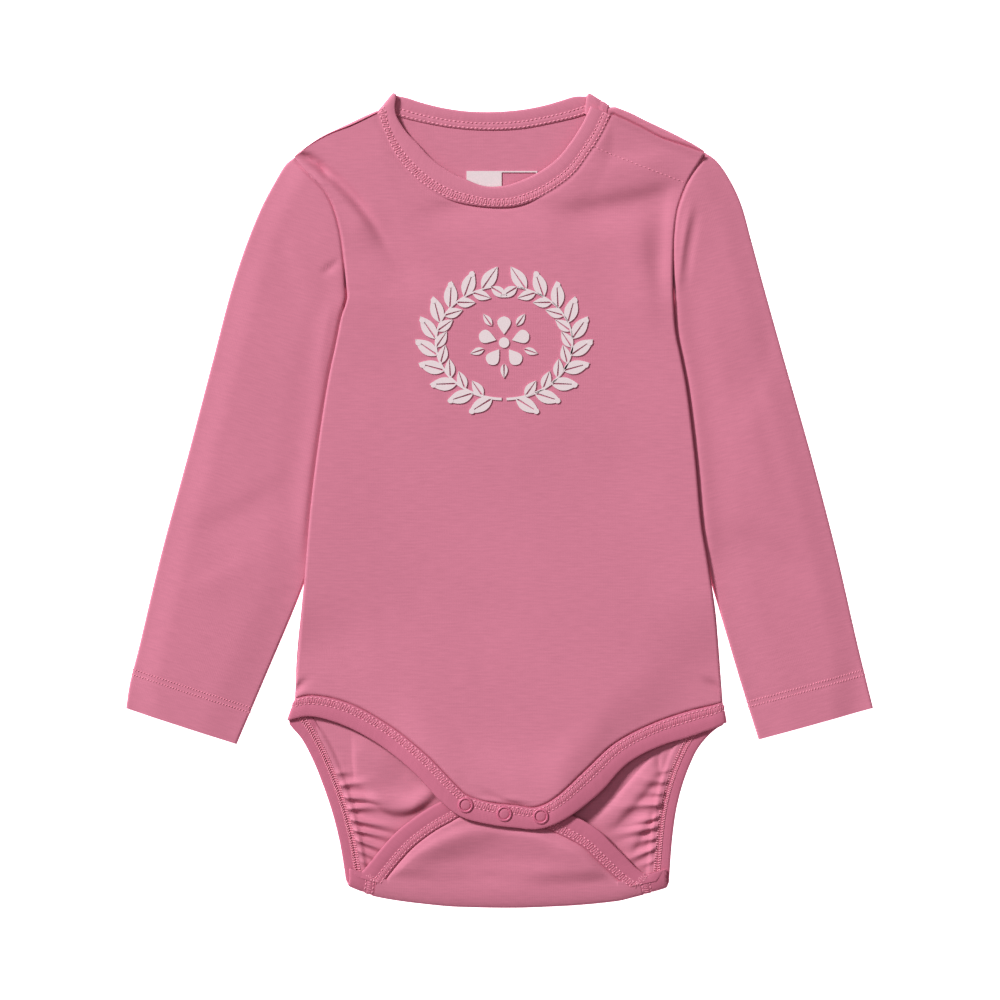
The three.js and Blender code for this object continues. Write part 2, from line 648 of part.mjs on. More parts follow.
// Columns bend with the sides of the body near them, and run straight down its middle.
function bendColumn(column, bent, v) {
  if (column.share === undefined) return bent;
  const left = mix(BODY_LEFT[0].x, BODY_LEFT.at(-1).x, v);
  const right = mix(BODY_RIGHT[0].x, BODY_RIGHT.at(-1).x, v);
  return mix(mix(left, right, column.share), bent, (2 * column.share - 1) ** 2);
}

const frontTopLine = [
  ...spaced(FRONT_SHOULDER_LEFT, SHOULDER_STEPS),
  ...places(neckFrontPairs).slice(1, -1),
  ...spaced(FRONT_SHOULDER_RIGHT, SHOULDER_STEPS),
];
const frontColumns = bodyColumns(frontTopLine);
const frontUpperEdge = straight(frontTopLine);
const frontLowerX = frontColumns.map((column) =>
  columnX(column, BODY_LEFT.at(-1).x + SEAM_GAP / 2, BODY_RIGHT.at(-1).x - SEAM_GAP / 2),
);
const frontLowerPairs = frontLowerX.map((x) => pairAt(frontBindingPairs, "x", x));
const frontLowerEdge = straight(places(frontLowerPairs));

function frontPanel() {
  const gap = SEAM_GAP / 2;
  const grid = [];
  for (const row of FRONT_ROWS) {
    const v = (FRONT_ROWS[0] - row) / (FRONT_ROWS[0] - FRONT_ROWS.at(-1));
    const leftY = mix(BODY_LEFT[0].y, BODY_LEFT.at(-1).y, v);
    const rightY = mix(BODY_RIGHT[0].y, BODY_RIGHT.at(-1).y, v);
    grid.push(
      frontColumns.map((column, i) => {
        const place = (a, b) => columnX(column, a + gap, b - gap);
        const topX = place(BODY_LEFT[0].x, BODY_RIGHT[0].x);
        const lower = beside(frontLowerPairs[i]);
        const bent = place(bodyLeft(leftY), bodyRight(rightY));
        const x = v === 1 ? lower.x : bendColumn(column, bent, v);
        const inFold = column.fromLeft ?? column.fromRight;
        const corner = inFold === undefined ? 0 : SEAM_GAP;
        const y = mix(frontUpperEdge(topX), lower.y + corner, v);
        let z = frontHeight(x, y, frontUpperEdge(x), frontLowerEdge(x));
        if (inFold !== undefined) {
          const round = Math.sqrt(1 - (1 - inFold / SIDE_ROLL) ** 2);
          const seam = sideSeamHeight(x, y) + SIDE_GAP;
          z = mix(z, mix(seam, z, round), sideFold(y));
        }
        return new THREE.Vector3(x, y, z);
      }),
    );
  }
  return wall(grid, JERSEY);
}

// Left and right edges of the back panel on the table: armhole, side, then the leg seam.
const edgeRows = (body, pairs, inwards) => [
  ...body.slice(0, -1),
  { x: body.at(-1).x + inwards * CORNER_GAP, y: body.at(-1).y + CORNER_GAP },
  ...places(pairs)
    .filter((p, i) => i % 6 === 3)
    .map(({ x, y }) => ({ x, y })),
];
const backLeft = profile(edgeRows(BODY_LEFT, backBindingLeft, 1), "y", "x");
const backRight = profile(edgeRows(BODY_RIGHT, backBindingRight, -1), "y", "x");

// Gathers: the cloth beside the leg seam rises and falls, least where it is far from the seam.
function gatherHeight(x, y) {
  const { count, top, bottom, height, reach } = GATHERS;
  const along = (y - top) / (bottom - top);
  if (along <= 0 || along >= 1) return 0;
  const wave = 0.5 - 0.5 * Math.cos(2 * Math.PI * count * along);
  const near = Math.min(x - backLeft(y), backRight(y) - x);
  return height * wave * Math.sin(Math.PI * along) ** 0.3 * Math.exp(-((near / reach) ** 2));
}

// Upper, outer face of the tail, from its fold towards its end.
const tailHeight = (x, y) => 2 * TAIL_ROLL + TAIL_RISE * smooth(...TAIL_SLOPE, y - bottomFold(x));

const backTopLine = [
  ...spaced(SHOULDER_FOLD_LEFT, SHOULDER_STEPS),
  ...places(neckBackPairs).slice(1, -1),
  ...spaced(SHOULDER_FOLD_RIGHT, SHOULDER_STEPS),
];
const backColumns = bodyColumns(backTopLine);
const backTopX = backColumns.map((column) =>
  columnX(column, BODY_LEFT[0].x + SEAM_GAP / 2, BODY_RIGHT[0].x - SEAM_GAP / 2),
);
const backUpperEdge = straight(backTopLine);
const gatherRows = Array.from({ length: 2 * GATHERS.count + 1 }, (_, k) =>
  mix(GATHERS.top, GATHERS.bottom, k / (2 * GATHERS.count)),
);
const backLegRows = [...LEG_ROWS, ...gatherRows];

// The shoulder's fold at one column: its radius and the length of cloth that has gone over.
function shoulderFold(x) {
  const left = SHOULDER_FOLD_LEFT.at(-1).x;
  const right = SHOULDER_FOLD_RIGHT[0].x;
  if (x < left + 1) {
    const radius = LEFT_SHOULDER_ROLL;
    const strip = backUpperEdge(x) - frontUpperEdge(x) - SEAM_GAP - 0.6 * JERSEY;
    const turned = Math.PI - Math.asin(THREE.MathUtils.clamp(1 - strip / radius, 0, 0.95));
    const over = turned * radius + Math.max(strip - radius, 0);
    return { radius, over: over * (1 - smooth(left - 7, left, x)) };
  }
  if (x > right - 1) {
    const radius = RIGHT_SHOULDER_ROLL;
    return { radius, over: (Math.PI * radius + UNDERLAP) * smooth(right, right + 7, x) };
  }
  return { radius: LEFT_SHOULDER_ROLL, over: 0 };
}

// Height and distance down from the fold line of a point s millimetres of cloth past the
// start of a fold.
function overFold(s, radius) {
  const angle = THREE.MathUtils.clamp(s / radius, 0, Math.PI);
  const past = Math.max(s - Math.PI * radius, 0) - Math.min(s, 0);
  return {
    down: radius - radius * Math.sin(angle) + past,
    z: radius * (1 - Math.cos(angle)),
  };
}

function backPanel() {
  const gap = SEAM_GAP / 2;
  const grid = SHOULDER_SHARES.map((share) =>
    backColumns.map((column, i) => {
      const { radius, over } = shoulderFold(backTopX[i]);
      const { down, z } = overFold(share * over, radius);
      const y = backUpperEdge(backTopX[i]) - (over > 0 ? down : (1 - share) * FLAT_BELOW_FOLD);
      const x = columnX(column, backLeft(y) + gap, backRight(y) - gap);
      return new THREE.Vector3(x, y, z);
    }),
  );

  // Rows of the flat part. The upper ones follow the line of the shoulders and neck.
  const flatTop = backTopX.map((x) => backUpperEdge(x) - FLAT_BELOW_FOLD - ROW_BELOW_THAT);
  const flatPoint = (column, y) => {
    const x = columnX(column, backLeft(y) + gap, backRight(y) - gap);
    let z = lift(x, y) + gatherHeight(x, y);
    z += foldHeight(BACK_FOLDS, x, y) * smooth(...TAIL_FLAT, y);
    const inFold = column.fromLeft ?? column.fromRight;
    if (inFold !== undefined) {
      const round = 1 - Math.sqrt(1 - (1 - inFold / SIDE_ROLL) ** 2);
      const share = sideFold(y) * smooth(...HIP_FOLD, y);
      z = mix(z, mix(z, sideSeamHeight(x, y) - SIDE_GAP, round), share);
    }
    return new THREE.Vector3(x, y, z);
  };
  for (const row of [...BACK_ROWS, ...backLegRows])
    grid.push(
      backColumns.map((column, i) => {
        const nearTop = smooth(SHOULDER_ROWS_FROM, BACK_ROWS[0], row);
        return flatPoint(column, row + (flatTop[i] - BACK_ROWS[0]) * nearTop);
      }),
    );

  // The bottom fold: x drifts inwards as the cloth turns, and y follows the fold's line.
  const lowLeft = beside(backBindingLeft.at(-1)).x + TAIL_GAP;
  const lowRight = beside(backBindingRight.at(-1)).x - TAIL_GAP;
  const highLeft = beside(tailPairs[0]).x + TAIL_GAP;
  const highRight = beside(tailPairs.at(-1)).x - TAIL_GAP;
  for (let degrees = 0; degrees <= 180; degrees += TAIL_FOLD_STEP) {
    const angle = radians(degrees);
    const t = degrees / 180;
    grid.push(
      backColumns.map((column) => {
        const x = columnX(column, mix(lowLeft, highLeft, t), mix(lowRight, highRight, t));
        const y = bottomFold(x) + TAIL_ROLL * (1 - Math.sin(angle));
        return new THREE.Vector3(x, y, TAIL_ROLL * (1 - Math.cos(angle)));
      }),
    );
  }
  for (let k = 1; k <= TAIL_ROWS; k++)
    grid.push(
      backColumns.map((column) => {
        const x = columnX(column, highLeft, highRight);
        const start = bottomFold(x) + TAIL_ROLL;
        const edge = beside(pairAt(tailPairs, "x", x), TAIL_GAP);
        const end = Math.max(edge.y, start + 1.2);
        const y = mix(start, end, k / TAIL_ROWS);
        return new THREE.Vector3(x, y, tailHeight(x, y));
      }),
    );
  return wall(grid.map((row) => row.reverse()), JERSEY);
}

function neckband() {
  const outLeft = new THREE.Vector3(-0.75, 0.66, 0);
  const outRight = new THREE.Vector3(0.52, 0.85, 0);
  const up = new THREE.Vector3(0, 0, 1);
  const down = new THREE.Vector3(0, 0, -1);
  const corner = ({ fx, fy, sx, sy }) => ({
    free: new THREE.Vector3(fx, fy, 0),
    seam: new THREE.Vector3(sx, sy, 0),
  });
  const leftCorner = corner(NECK_BACK[0]);
  const rightCorner = corner(NECK_BACK.at(-1));
  const tuck = new THREE.Vector3(-1.5, -10, 2 * NECK_ROLL_RIGHT);
  return band(
    [
      ...neckFrontPairs
        .slice(1)
        .reverse()
        .map(({ free, seam }) => {
          const z = frontTop(seam.x) + BAND_PROUD;
          return { free: free.clone().setZ(z), seam: seam.clone().setZ(z), normal: up };
        }),
      ...turned(leftCorner, outLeft, NECK_ROLL_LEFT, 90, -90, 6),
      ...neckBackPairs.slice(1, -1).map(({ free, seam }) => ({ free, seam, normal: down })),
      ...turned(rightCorner, outRight, NECK_ROLL_RIGHT, -90, 90, 6),
      {
        free: rightCorner.free.clone().add(tuck),
        seam: rightCorner.seam.clone().add(tuck),
        normal: up,
      },
    ],
    BAND,
  );
}

// Directions out of the body at the lower ends of its side seams
const HIP_LEFT = new THREE.Vector3(-0.94, -0.33, 0);
const HIP_RIGHT = new THREE.Vector3(0.98, -0.18, 0);

function frontLegBinding() {
  const up = new THREE.Vector3(0, 0, 1);
  const sections = frontLowerPairs.slice(2, -2).map(({ free, seam }) => {
    const z = frontBindingHeight(seam.x) + BAND_PROUD;
    return { free: free.clone().setZ(z), seam: seam.clone().setZ(z), normal: up };
  });
  const raise = (section) => {
    section.free.z += BAND_PROUD + SEAM_GAP;
    section.seam.z += BAND_PROUD + SEAM_GAP;
    return section;
  };
  return band(
    [
      ...turned(frontBindingPairs[0], HIP_LEFT, SIDE_ROLL, 8, 68, 2).map(raise),
      ...sections,
      ...turned(frontBindingPairs.at(-1), HIP_RIGHT, SIDE_ROLL, 68, 8, 2).map(raise),
    ],
    BAND,
  );
}

function backLegBinding() {
  const up = new THREE.Vector3(0, 0, 1);
  const down = new THREE.Vector3(0, 0, -1);
  const flat = (pairs) =>
    backLegRows.map((y) => ({ ...pairAt(pairs, "y", y), normal: down }));
  const onTail = backColumns
    .slice(1, -1)
    .map((column) => {
      const left = beside(tailPairs[0]).x;
      const right = beside(tailPairs.at(-1)).x;
      const { free, seam } = pairAt(tailPairs, "x", columnX(column, left, right));
      const z = tailHeight(seam.x, seam.y) + BAND_PROUD;
      return { free: free.clone().setZ(z), seam: seam.clone().setZ(z), normal: up };
    });
  // Round the bottom fold, from the pair below it to the pair above it.
  const round = (below, above, angles) =>
    angles.map((degrees) => {
      const angle = radians(degrees);
      const t = degrees / 180;
      const place = (a, b) => {
        const x = mix(a.x, b.x, t);
        const y = bottomFold(x) + TAIL_ROLL * (1 - Math.sin(angle));
        return new THREE.Vector3(x, y, TAIL_ROLL * (1 - Math.cos(angle)));
      };
      const slope = bottomFold(below.seam.x + 1) - bottomFold(below.seam.x - 1);
      const normal = new THREE.Vector3(slope / 2, -1, 0).setLength(Math.sin(angle) + 1e-6);
      normal.z = -Math.cos(angle);
      return { free: place(below.free, above.free), seam: place(below.seam, above.seam), normal };
    });
  const angles = [];
  for (let degrees = 0; degrees <= 180; degrees += TAIL_FOLD_STEP) angles.push(degrees);
  return band(
    [
      ...turned(backBindingRight[0], HIP_RIGHT, SIDE_ROLL, -12, -70, 2),
      ...flat(backBindingRight).slice(1),
      ...round(backBindingRight.at(-1), tailPairs.at(-1), angles),
      ...onTail.reverse(),
      ...round(backBindingLeft.at(-1), tailPairs[0], [...angles].reverse()),
      ...flat(backBindingLeft).slice(1).reverse(),
      ...turned(backBindingLeft[0], HIP_LEFT, SIDE_ROLL, -70, -12, 2),
    ],
    BAND,
  );
}

// A sleeve: rows from the armhole to the cuff, each a flattened ring that starts on the
// outer fold, crosses the top to the inner fold and comes back underneath.
function sleeve(outerTable, innerTable, bodyTable, bodyEdge, side) {
  const outer = spaced(outerTable, SLEEVE_ROWS);
  const inner = spaced(innerTable, SLEEVE_ROWS);
  const [armpitY, shoulderY] = ARMHOLE_ROWS;
  const bodySide = bodyTable.filter(({ y }) => y > armpitY && y < shoulderY);
  const armpit = bodyTable.find(({ y }) => y < ARMPIT_LIFT[0]);
  const seamPoints = [
    outerTable[0],
    ...bodySide,
    { x: armpit.x - side * ARMPIT_POINT.inward, y: ARMPIT_POINT.y },
    innerTable[0],
  ];
  const armholeCurve = new THREE.CatmullRomCurve3(
    seamPoints.map(({ x, y }) => new THREE.Vector3(x, y, 0)),
    false,
    "centripetal",
  );
  const outerX = profile(outerTable.slice(0, -1), "y", "x");
  const height = (x, y, fromInner) => {
    const fromOuter = Math.abs(outerX(y) - x);
    const hidden = y > SLEEVE_SHOWN_BELOW;
    const seamSide = hidden ? Math.max(side * (x - bodyEdge(y)), 0) : fromInner;
    const seamShare = smooth(0, SLEEVE_SEAM_BLEND, seamSide);
    const seamRise = mix(sleeveSeam(y), SLEEVE_MIDDLE_HEIGHT, seamShare);
    const lowest = 2 * SLEEVE_EDGE_ROLL;
    const z = mix(lowest, seamRise, smooth(0, SLEEVE_OUTER_BLEND, fromOuter));
    const inSeam = smooth(0, SLEEVE_FOLD_START, seamSide);
    const inFold = smooth(0, SLEEVE_FOLD_START, fromOuter);
    return Math.max(z + foldHeight(SLEEVE_FOLDS, x, y) * inSeam * inFold, lowest);
  };
  const roll = SLEEVE_ROLL_ANGLES.map((a) => SLEEVE_EDGE_ROLL * (1 - Math.cos(radians(a))));
  const grid = [];
  for (let j = 0; j <= SLEEVE_ROWS; j++) {
    const v = j / SLEEVE_ROWS;
    const [o, n] = [outer[j], inner[j]];
    const width = o.distanceTo(n);
    const shares = roll.map((s) => s / width);
    const lastShare = 1 - shares.at(-1);
    for (let k = 1; k < SLEEVE_STEPS; k++)
      shares.push(mix(shares[roll.length - 1], lastShare, k / SLEEVE_STEPS));
    shares.push(...roll.map((s) => 1 - s / width).reverse());
    // A row bends from the armhole's curve to the cuff's straight line.
    const place = (share) => {
      const line = new THREE.Vector3().lerpVectors(o, n, share);
      const curve = armholeCurve.getPointAt(share);
      const along = armholeCurve.getTangentAt(share);
      curve.addScaledVector(new THREE.Vector3(-along.y, along.x, 0), side * ARMHOLE_GAP);
      const chord = new THREE.Vector3().lerpVectors(outer[0], inner[0], share);
      return line.addScaledVector(curve.sub(chord), (1 - v) ** 2);
    };
    const row = [];
    shares.forEach((share, k) => {
      const point = place(share);
      const fromEdge = Math.min(share, 1 - share) * width;
      const round = Math.sqrt(1 - Math.max(1 - fromEdge / SLEEVE_EDGE_ROLL, 0) ** 2);
      point.z = mix(SLEEVE_EDGE_ROLL, height(point.x, point.y, (1 - share) * width), round);
      row.push(point);
    });
    [...shares]
      .slice(1, -1)
      .reverse()
      .forEach((share) => {
        const point = place(share);
        const fromEdge = Math.min(share, 1 - share) * width;
        const round = Math.sqrt(1 - Math.max(1 - fromEdge / SLEEVE_EDGE_ROLL, 0) ** 2);
        point.z = mix(SLEEVE_EDGE_ROLL, 0, round);
        row.push(point);
      });
    grid.push(row);
  }
  const facing = side < 0 ? grid : grid.map((row) => [row[0], ...row.slice(1).reverse()]);
  return wall(facing, JERSEY, true);
}

// A turned solid from a closed profile of radii and heights.
function turnedSolid(profilePoints) {
  const points = profilePoints.map(({ r, z }) => new THREE.Vector2(r, z));
  const geometry = new THREE.LatheGeometry(points, SNAP_SIDES);
  geometry.rotateX(Math.PI / 2);
  return geometry;
}

// The ring of a snap that shows on the front.
function snapRing() {
  const h = SNAP_RING_HEIGHT;
  return turnedSolid([
    { r: SNAP_RING_INNER, z: 0 },
    { r: SNAP_RADIUS, z: 0 },
    { r: SNAP_RADIUS, z: 0.45 * h },
    { r: SNAP_RADIUS - 0.4, z: h },
    { r: SNAP_RING_INNER + 0.3, z: h },
    { r: SNAP_RING_INNER, z: 0.6 * h },
    { r: SNAP_RING_INNER, z: 0 },
  ]);
}

// The stud and socket of a snap, pressed together between the flap and the tail.
function snapStud() {
  const h = SNAP_STUD_HEIGHT;
  return turnedSolid([
    { r: 0, z: 0 },
    { r: SNAP_STUD_RADIUS, z: 0 },
    { r: SNAP_STUD_RADIUS, z: 0.35 * h },
    { r: SNAP_STUD_RADIUS - 0.8, z: 0.5 * h },
    { r: SNAP_STUD_RADIUS, z: 0.65 * h },
    { r: SNAP_STUD_RADIUS, z: h },
    { r: 0, z: h },
  ]);
}

const jersey = () =>
  new THREE.MeshStandardMaterial({ color: 0xd07f98, roughness: 0.9, metalness: 0 });
const snapPaint = () =>
  new THREE.MeshStandardMaterial({ color: 0xc96f8c, roughness: 0.5, metalness: 0.1 });

const bodysuit = new THREE.Group();

function add(name, geometry, material) {
  const mesh = new THREE.Mesh(geometry, material);
  mesh.name = name;
  bodysuit.add(mesh);
  return mesh;
}

add("back_panel", backPanel(), jersey());
add("front_panel", frontPanel(), jersey());
add(
  "left_sleeve",
  sleeve(SLEEVE_OUTER_LEFT, SLEEVE_INNER_LEFT, BODY_LEFT, bodyLeft, -1),
  jersey(),
);
add(
  "right_sleeve",
  sleeve(SLEEVE_OUTER_RIGHT, SLEEVE_INNER_RIGHT, BODY_RIGHT, bodyRight, 1),
  jersey(),
);
add("neckband", neckband(), jersey());
add("front_leg_binding", frontLegBinding(), jersey());
add("back_leg_binding", backLegBinding(), jersey());

for (const snap of SNAPS) {
  const flapTop = frontBindingHeight(snap.x) + BAND_PROUD;
  const ring = add(`snap_ring_${snap.name}`, snapRing(), snapPaint());
  ring.position.set(snap.x, snap.y, flapTop + SNAP_GAP);
  const stud = add(`snap_stud_${snap.name}`, snapStud(), snapPaint());
  stud.position.set(snap.x, snap.y, 2 * TAIL_ROLL + TAIL_RISE + BAND_PROUD + SNAP_GAP);
}

export default bodysuit;
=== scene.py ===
# A long-sleeved baby bodysuit in pink cotton jersey, laid flat and seen from straight above.
# Shapes are worked out in millimetres, in the frame of the solids, and made in metres.
# +Y runs from the crotch to the neck, and left and right are as seen from above the front.
import math

import bpy
import numpy as np
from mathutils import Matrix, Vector


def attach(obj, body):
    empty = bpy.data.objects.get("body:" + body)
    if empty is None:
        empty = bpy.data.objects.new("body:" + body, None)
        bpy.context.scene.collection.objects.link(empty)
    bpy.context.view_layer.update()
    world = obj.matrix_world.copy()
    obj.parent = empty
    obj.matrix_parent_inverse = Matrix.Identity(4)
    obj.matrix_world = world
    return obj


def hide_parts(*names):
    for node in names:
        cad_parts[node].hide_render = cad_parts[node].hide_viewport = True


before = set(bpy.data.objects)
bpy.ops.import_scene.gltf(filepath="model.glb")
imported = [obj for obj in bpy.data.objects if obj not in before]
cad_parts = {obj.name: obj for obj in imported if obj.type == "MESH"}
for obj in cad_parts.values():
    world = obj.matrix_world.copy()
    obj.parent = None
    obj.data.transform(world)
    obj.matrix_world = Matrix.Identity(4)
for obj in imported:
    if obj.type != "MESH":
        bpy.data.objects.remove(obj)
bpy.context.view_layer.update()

MM = 0.001
UP = np.array([0.0, 0.0, 1.0])

# Thickness of the cloth and of a folded band, and how far edges lie from or under each other
JERSEY = 1.0
BAND = 1.8
SEAM_GAP = 0.4
PANEL_GAP = -0.5
SIDE_GAP = 0.3
TAIL_GAP = -0.8
CORNER_GAP = 0.9
ARMHOLE_GAP = -0.4
LEG_LAP = 3.3
NECK_CORNER_LAP = 2.4
BAND_PROUD = 0.1

# Radii of the folds, and heights above the table
SIDE_ROLL = 1.7
SLEEVE_EDGE_ROLL = 1.45
SLEEVE_LIFT = 3.3
LIFT_FULL = 5.0
LIFT_END = 20.0
TAIL_ROLL = 2.4
TAIL_REACH = 11.0
TAIL_RISE = 1.6
LEFT_SHOULDER_ROLL = 2.2
RIGHT_SHOULDER_ROLL = 1.8
UNDERLAP = 8.0
NECK_ROLL_LEFT = 2.35
NECK_ROLL_RIGHT = 2.05

# Sides of the body: y, x
BODY_LEFT = [
    (188.2, -113), (181.2, -107.2), (169.3, -95.7), (159.7, -91), (145.4, -87.4),
    (134.7, -86), (118.3, -84.4), (111.9, -83.9), (100.5, -87.2), (85.6, -90.2),
    (69, -93.8), (31.9, -99.7), (-4.6, -104.2), (-48.1, -107.9), (-99.6, -112.5),
    (-109, -113),
]
BODY_RIGHT = [
    (190, 112.9), (173.8, 103.1), (156.8, 97.5), (141.9, 95.9), (123.2, 95.4),
    (110.6, 95.8), (94.2, 96.9), (79.5, 99.8), (62.7, 103), (42.6, 105.7),
    (19.5, 108.3), (-12.1, 111.2), (-35.2, 115), (-69.3, 119.8), (-110.8, 123.2),
]
# Shoulders: x, y
SHOULDER_FOLD_LEFT = [
    (-113, 189.2), (-110, 191.7), (-105.2, 195.4), (-98.4, 199.9), (-90.4, 203.9),
    (-82.2, 207.7), (-75, 211.2), (-67.6, 214.4),
]
SHOULDER_FOLD_RIGHT = [
    (63.8, 216.6), (72, 213.4), (80, 209.4), (94.3, 202.6), (107, 196), (113, 192.2),
]
FRONT_SHOULDER_LEFT = [
    (-113, 188.2), (-104.8, 194.4), (-93.8, 200.6), (-81, 205.6), (-68.2, 211.8),
]
FRONT_SHOULDER_RIGHT = [
    (61.9, 211.6), (77.3, 204.3), (88.8, 198.4), (96.9, 195.6), (106.4, 192.4), (112.9, 190),
]
# Bands: x and y of the free edge, then x and y of the seam
NECK_CORNER = (-58.6, 224.6, -68.0, 213.2)
HIP_CORNER_LEFT = (-117.3, -121.8, -113.0, -109.4)
HIP_CORNER_RIGHT = (125.3, -123.0, 123.2, -111.4)
NECK_FRONT = [
    NECK_CORNER, (-57.6, 216.5, -65.9, 207.0), (-56.0, 209.0, -61.6, 197.6),
    (-48.2, 199.6, -54.6, 184.6), (-33.6, 184.6, -43.6, 173.6), (-18.4, 176.3, -29.6, 165.4),
    (-4.4, 172.2, -3.8, 160.7), (12.4, 176, 14, 162.5), (29.3, 185.6, 38.6, 176.2),
    (40.4, 198.6, 49.9, 190.2), (47.1, 209.8, 57.9, 202.8), (50, 216.2, 61.7, 211.2),
]
NECK_BACK = [
    NECK_CORNER, (-50.0, 221.4, -58.0, 211.4), (-38.0, 217.8, -44.0, 208.0),
    (-22, 214.8, -26, 204.8), (-6, 214, -6, 203.4), (12, 215.2, 13, 204.4),
    (27, 218.2, 31, 207.8), (39, 221.8, 45, 211.2), (49.2, 224.4, 61, 217.2),
]
FRONT_BINDING = [
    HIP_CORNER_LEFT, (-105.3, -119.2, -104.0, -107.4),
    (-87.6, -123.4, -84.6, -111), (-66.7, -134.2, -61.2, -123.2),
    (-46.6, -150, -38.9, -140.6), (-32, -165.4, -24, -155.8),
    (-21.1, -173.6, -17.6, -161.6), (-5.6, -177.9, -4.2, -165.6),
    (8.4, -179.7, 9, -167), (22, -180.4, 19.4, -168.2),
    (36.5, -174.8, 29.6, -163.8), (55.3, -160.8, 47.6, -147.8),
    (70, -145.4, 62.6, -134.2), (87.3, -136, 80.6, -124.4),
    (105.0, -130.4, 102.0, -116.6), HIP_CORNER_RIGHT,
]
BACK_BINDING_LEFT = [
    HIP_CORNER_LEFT, (-113.2, -126.8, -105.0, -116.6),
    (-109.2, -131.5, -99.5, -124.3), (-103, -143.1, -92.1, -138),
    (-96.8, -158.5, -85.4, -154.4), (-92.2, -172.4, -80.6, -169.1),
    (-88.3, -187.8, -76.5, -185.4), (-86, -201, -74.1, -199),
    (-84.6, -210.6, -71.6, -214.2),
]
BACK_BINDING_RIGHT = [
    HIP_CORNER_RIGHT, (119.6, -126.0, 113.0, -116.4),
    (113.6, -131.5, 104.8, -123), (108.9, -137.7, 98.4, -131.6),
    (104.2, -147.7, 93.1, -142.9), (100.4, -158.5, 88.8, -155.1),
    (97.4, -170.9, 85.5, -168.5), (95.4, -185, 83.5, -183.2),
    (94.2, -199, 82.2, -198.6), (93.4, -211.4, 81, -213.6),
]
TAIL_BINDING = [
    (-82.4, -211.8, -67, -215.4), (-71.3, -199.4, -61.5, -207.4),
    (-65.2, -191.7, -55.6, -199.9), (-56.7, -182.4, -48, -191.5),
    (-48.2, -175.5, -40.6, -185.4), (-40.4, -170.1, -33.6, -180.7),
    (-32, -165.4, -27.2, -177.2), (-22, -161.2, -21, -174),
    (-9, -162.4, -10.6, -174.8), (8, -165.4, 7, -177.8),
    (24, -167, 22.6, -179.6), (36, -171.4, 30.2, -182.8),
    (46.4, -176.2, 39.6, -187.2), (54.9, -181.7, 46.9, -191.8),
    (61.9, -188.7, 53.2, -198), (68.8, -195.6, 60.4, -204.8),
    (76.5, -203.3, 68.4, -211.4), (91.6, -212.4, 76, -214.8),
]
# The bottom fold, as its outermost line: x, y
BOTTOM_FOLD = [
    (-86, -211.4), (-82.1, -213.3), (-68.3, -218.4), (-43.6, -222.2), (-21.7, -224.1),
    (5, -224.6), (33.3, -223.7), (64.1, -221), (74.2, -218.7), (91.9, -213.7),
    (95, -212.6),
]
# Sleeves: x, y along the outer fold and along the inner one
SLEEVE_OUTER_LEFT = [
    (-112.3, 189.4), (-118, 184.8), (-123.5, 176), (-130.6, 162.8), (-138.9, 143),
    (-147.7, 116.6), (-158.1, 77), (-171.9, 24.2), (-186.2, -28.6), (-198.8, -81.4),
    (-203.8, -101.2), (-205.8, -114.6),
]
SLEEVE_INNER_LEFT = [
    (-72, 100.4), (-76.5, 70), (-84.5, 30), (-95.5, -10), (-108.6, -48.4),
    (-130, -99.6), (-144.8, -134.4),
]
SLEEVE_OUTER_RIGHT = [
    (112.6, 191.9), (119.6, 187), (127.3, 176), (133.4, 162.8), (138.9, 143),
    (146, 116.6), (157, 77), (171.9, 24.2), (185.6, -28.6), (197.7, -81.4),
    (205.8, -114.4),
]
SLEEVE_INNER_RIGHT = [
    (83.6, 99.4), (88, 70), (95, 30), (105, -10), (117.4, -48.4),
    (132.8, -100.3), (142.7, -131.9),
]
# Heights of the upper face: y, z or x, z
FRONT_CENTRE = [(214, 4.7), (160, 5.2), (90, 5.8), (-60, 5.8), (-120, 6.9), (-168, 9.7)]
ARMHOLE = [(190, 4.9), (165, 5.0), (140, 5.1), (118, 6.3)]
FRONT_TOP = [(-113, 4.9), (-66, 4.7), (0, 4.7), (45, 5.7), (62, 6.3), (88, 5.6), (113, 5.2)]
FRONT_BINDING_HEIGHT = [
    (-113, 3.9), (-104, 4), (-84.6, 4.4), (-61.2, 5.8), (-38.9, 8.8), (-24, 9.9),
    (-17.6, 9.95), (19.4, 9.95), (29.6, 9.9), (47.6, 7.6), (62.6, 5.7), (80.6, 4.7),
    (102, 4.1), (123.2, 3.9),
]
SLEEVE_SEAM = [(191, 4.4), (165, 4.9), (145, 4.8), (125, 3.9), (112, 2.9), (-140, 2.9)]
SLEEVE_MIDDLE_HEIGHT = 4.2
SLEEVE_BULGE = 1.3
BULGE_AT = 3.2
# How far in an edge shapes the height: the front's side, lower and upper edges, and then a
# sleeve's edge beside the body and its outer fold
SIDE_BLEND, LOWER_BLEND, UPPER_BLEND = 46.0, 34.0, 26.0
SLEEVE_SEAM_BLEND, SLEEVE_FOLD_BLEND = 24.0, 17.0
SLEEVE_FOLDS_MARGIN = 8.0
# Where each change along the body starts and ends, as y
ARMPIT = (113, 125)
SLEEVE_LEAVES = (-96, -50)
SIDE_SEAM_TOP = (108, 118)
SIDE_SEAM_END = (-114, -104)
BULGE_END = (-46, -10)
BULGE_TOP = (108, 140)
SLEEVE_FREE_BELOW = -48

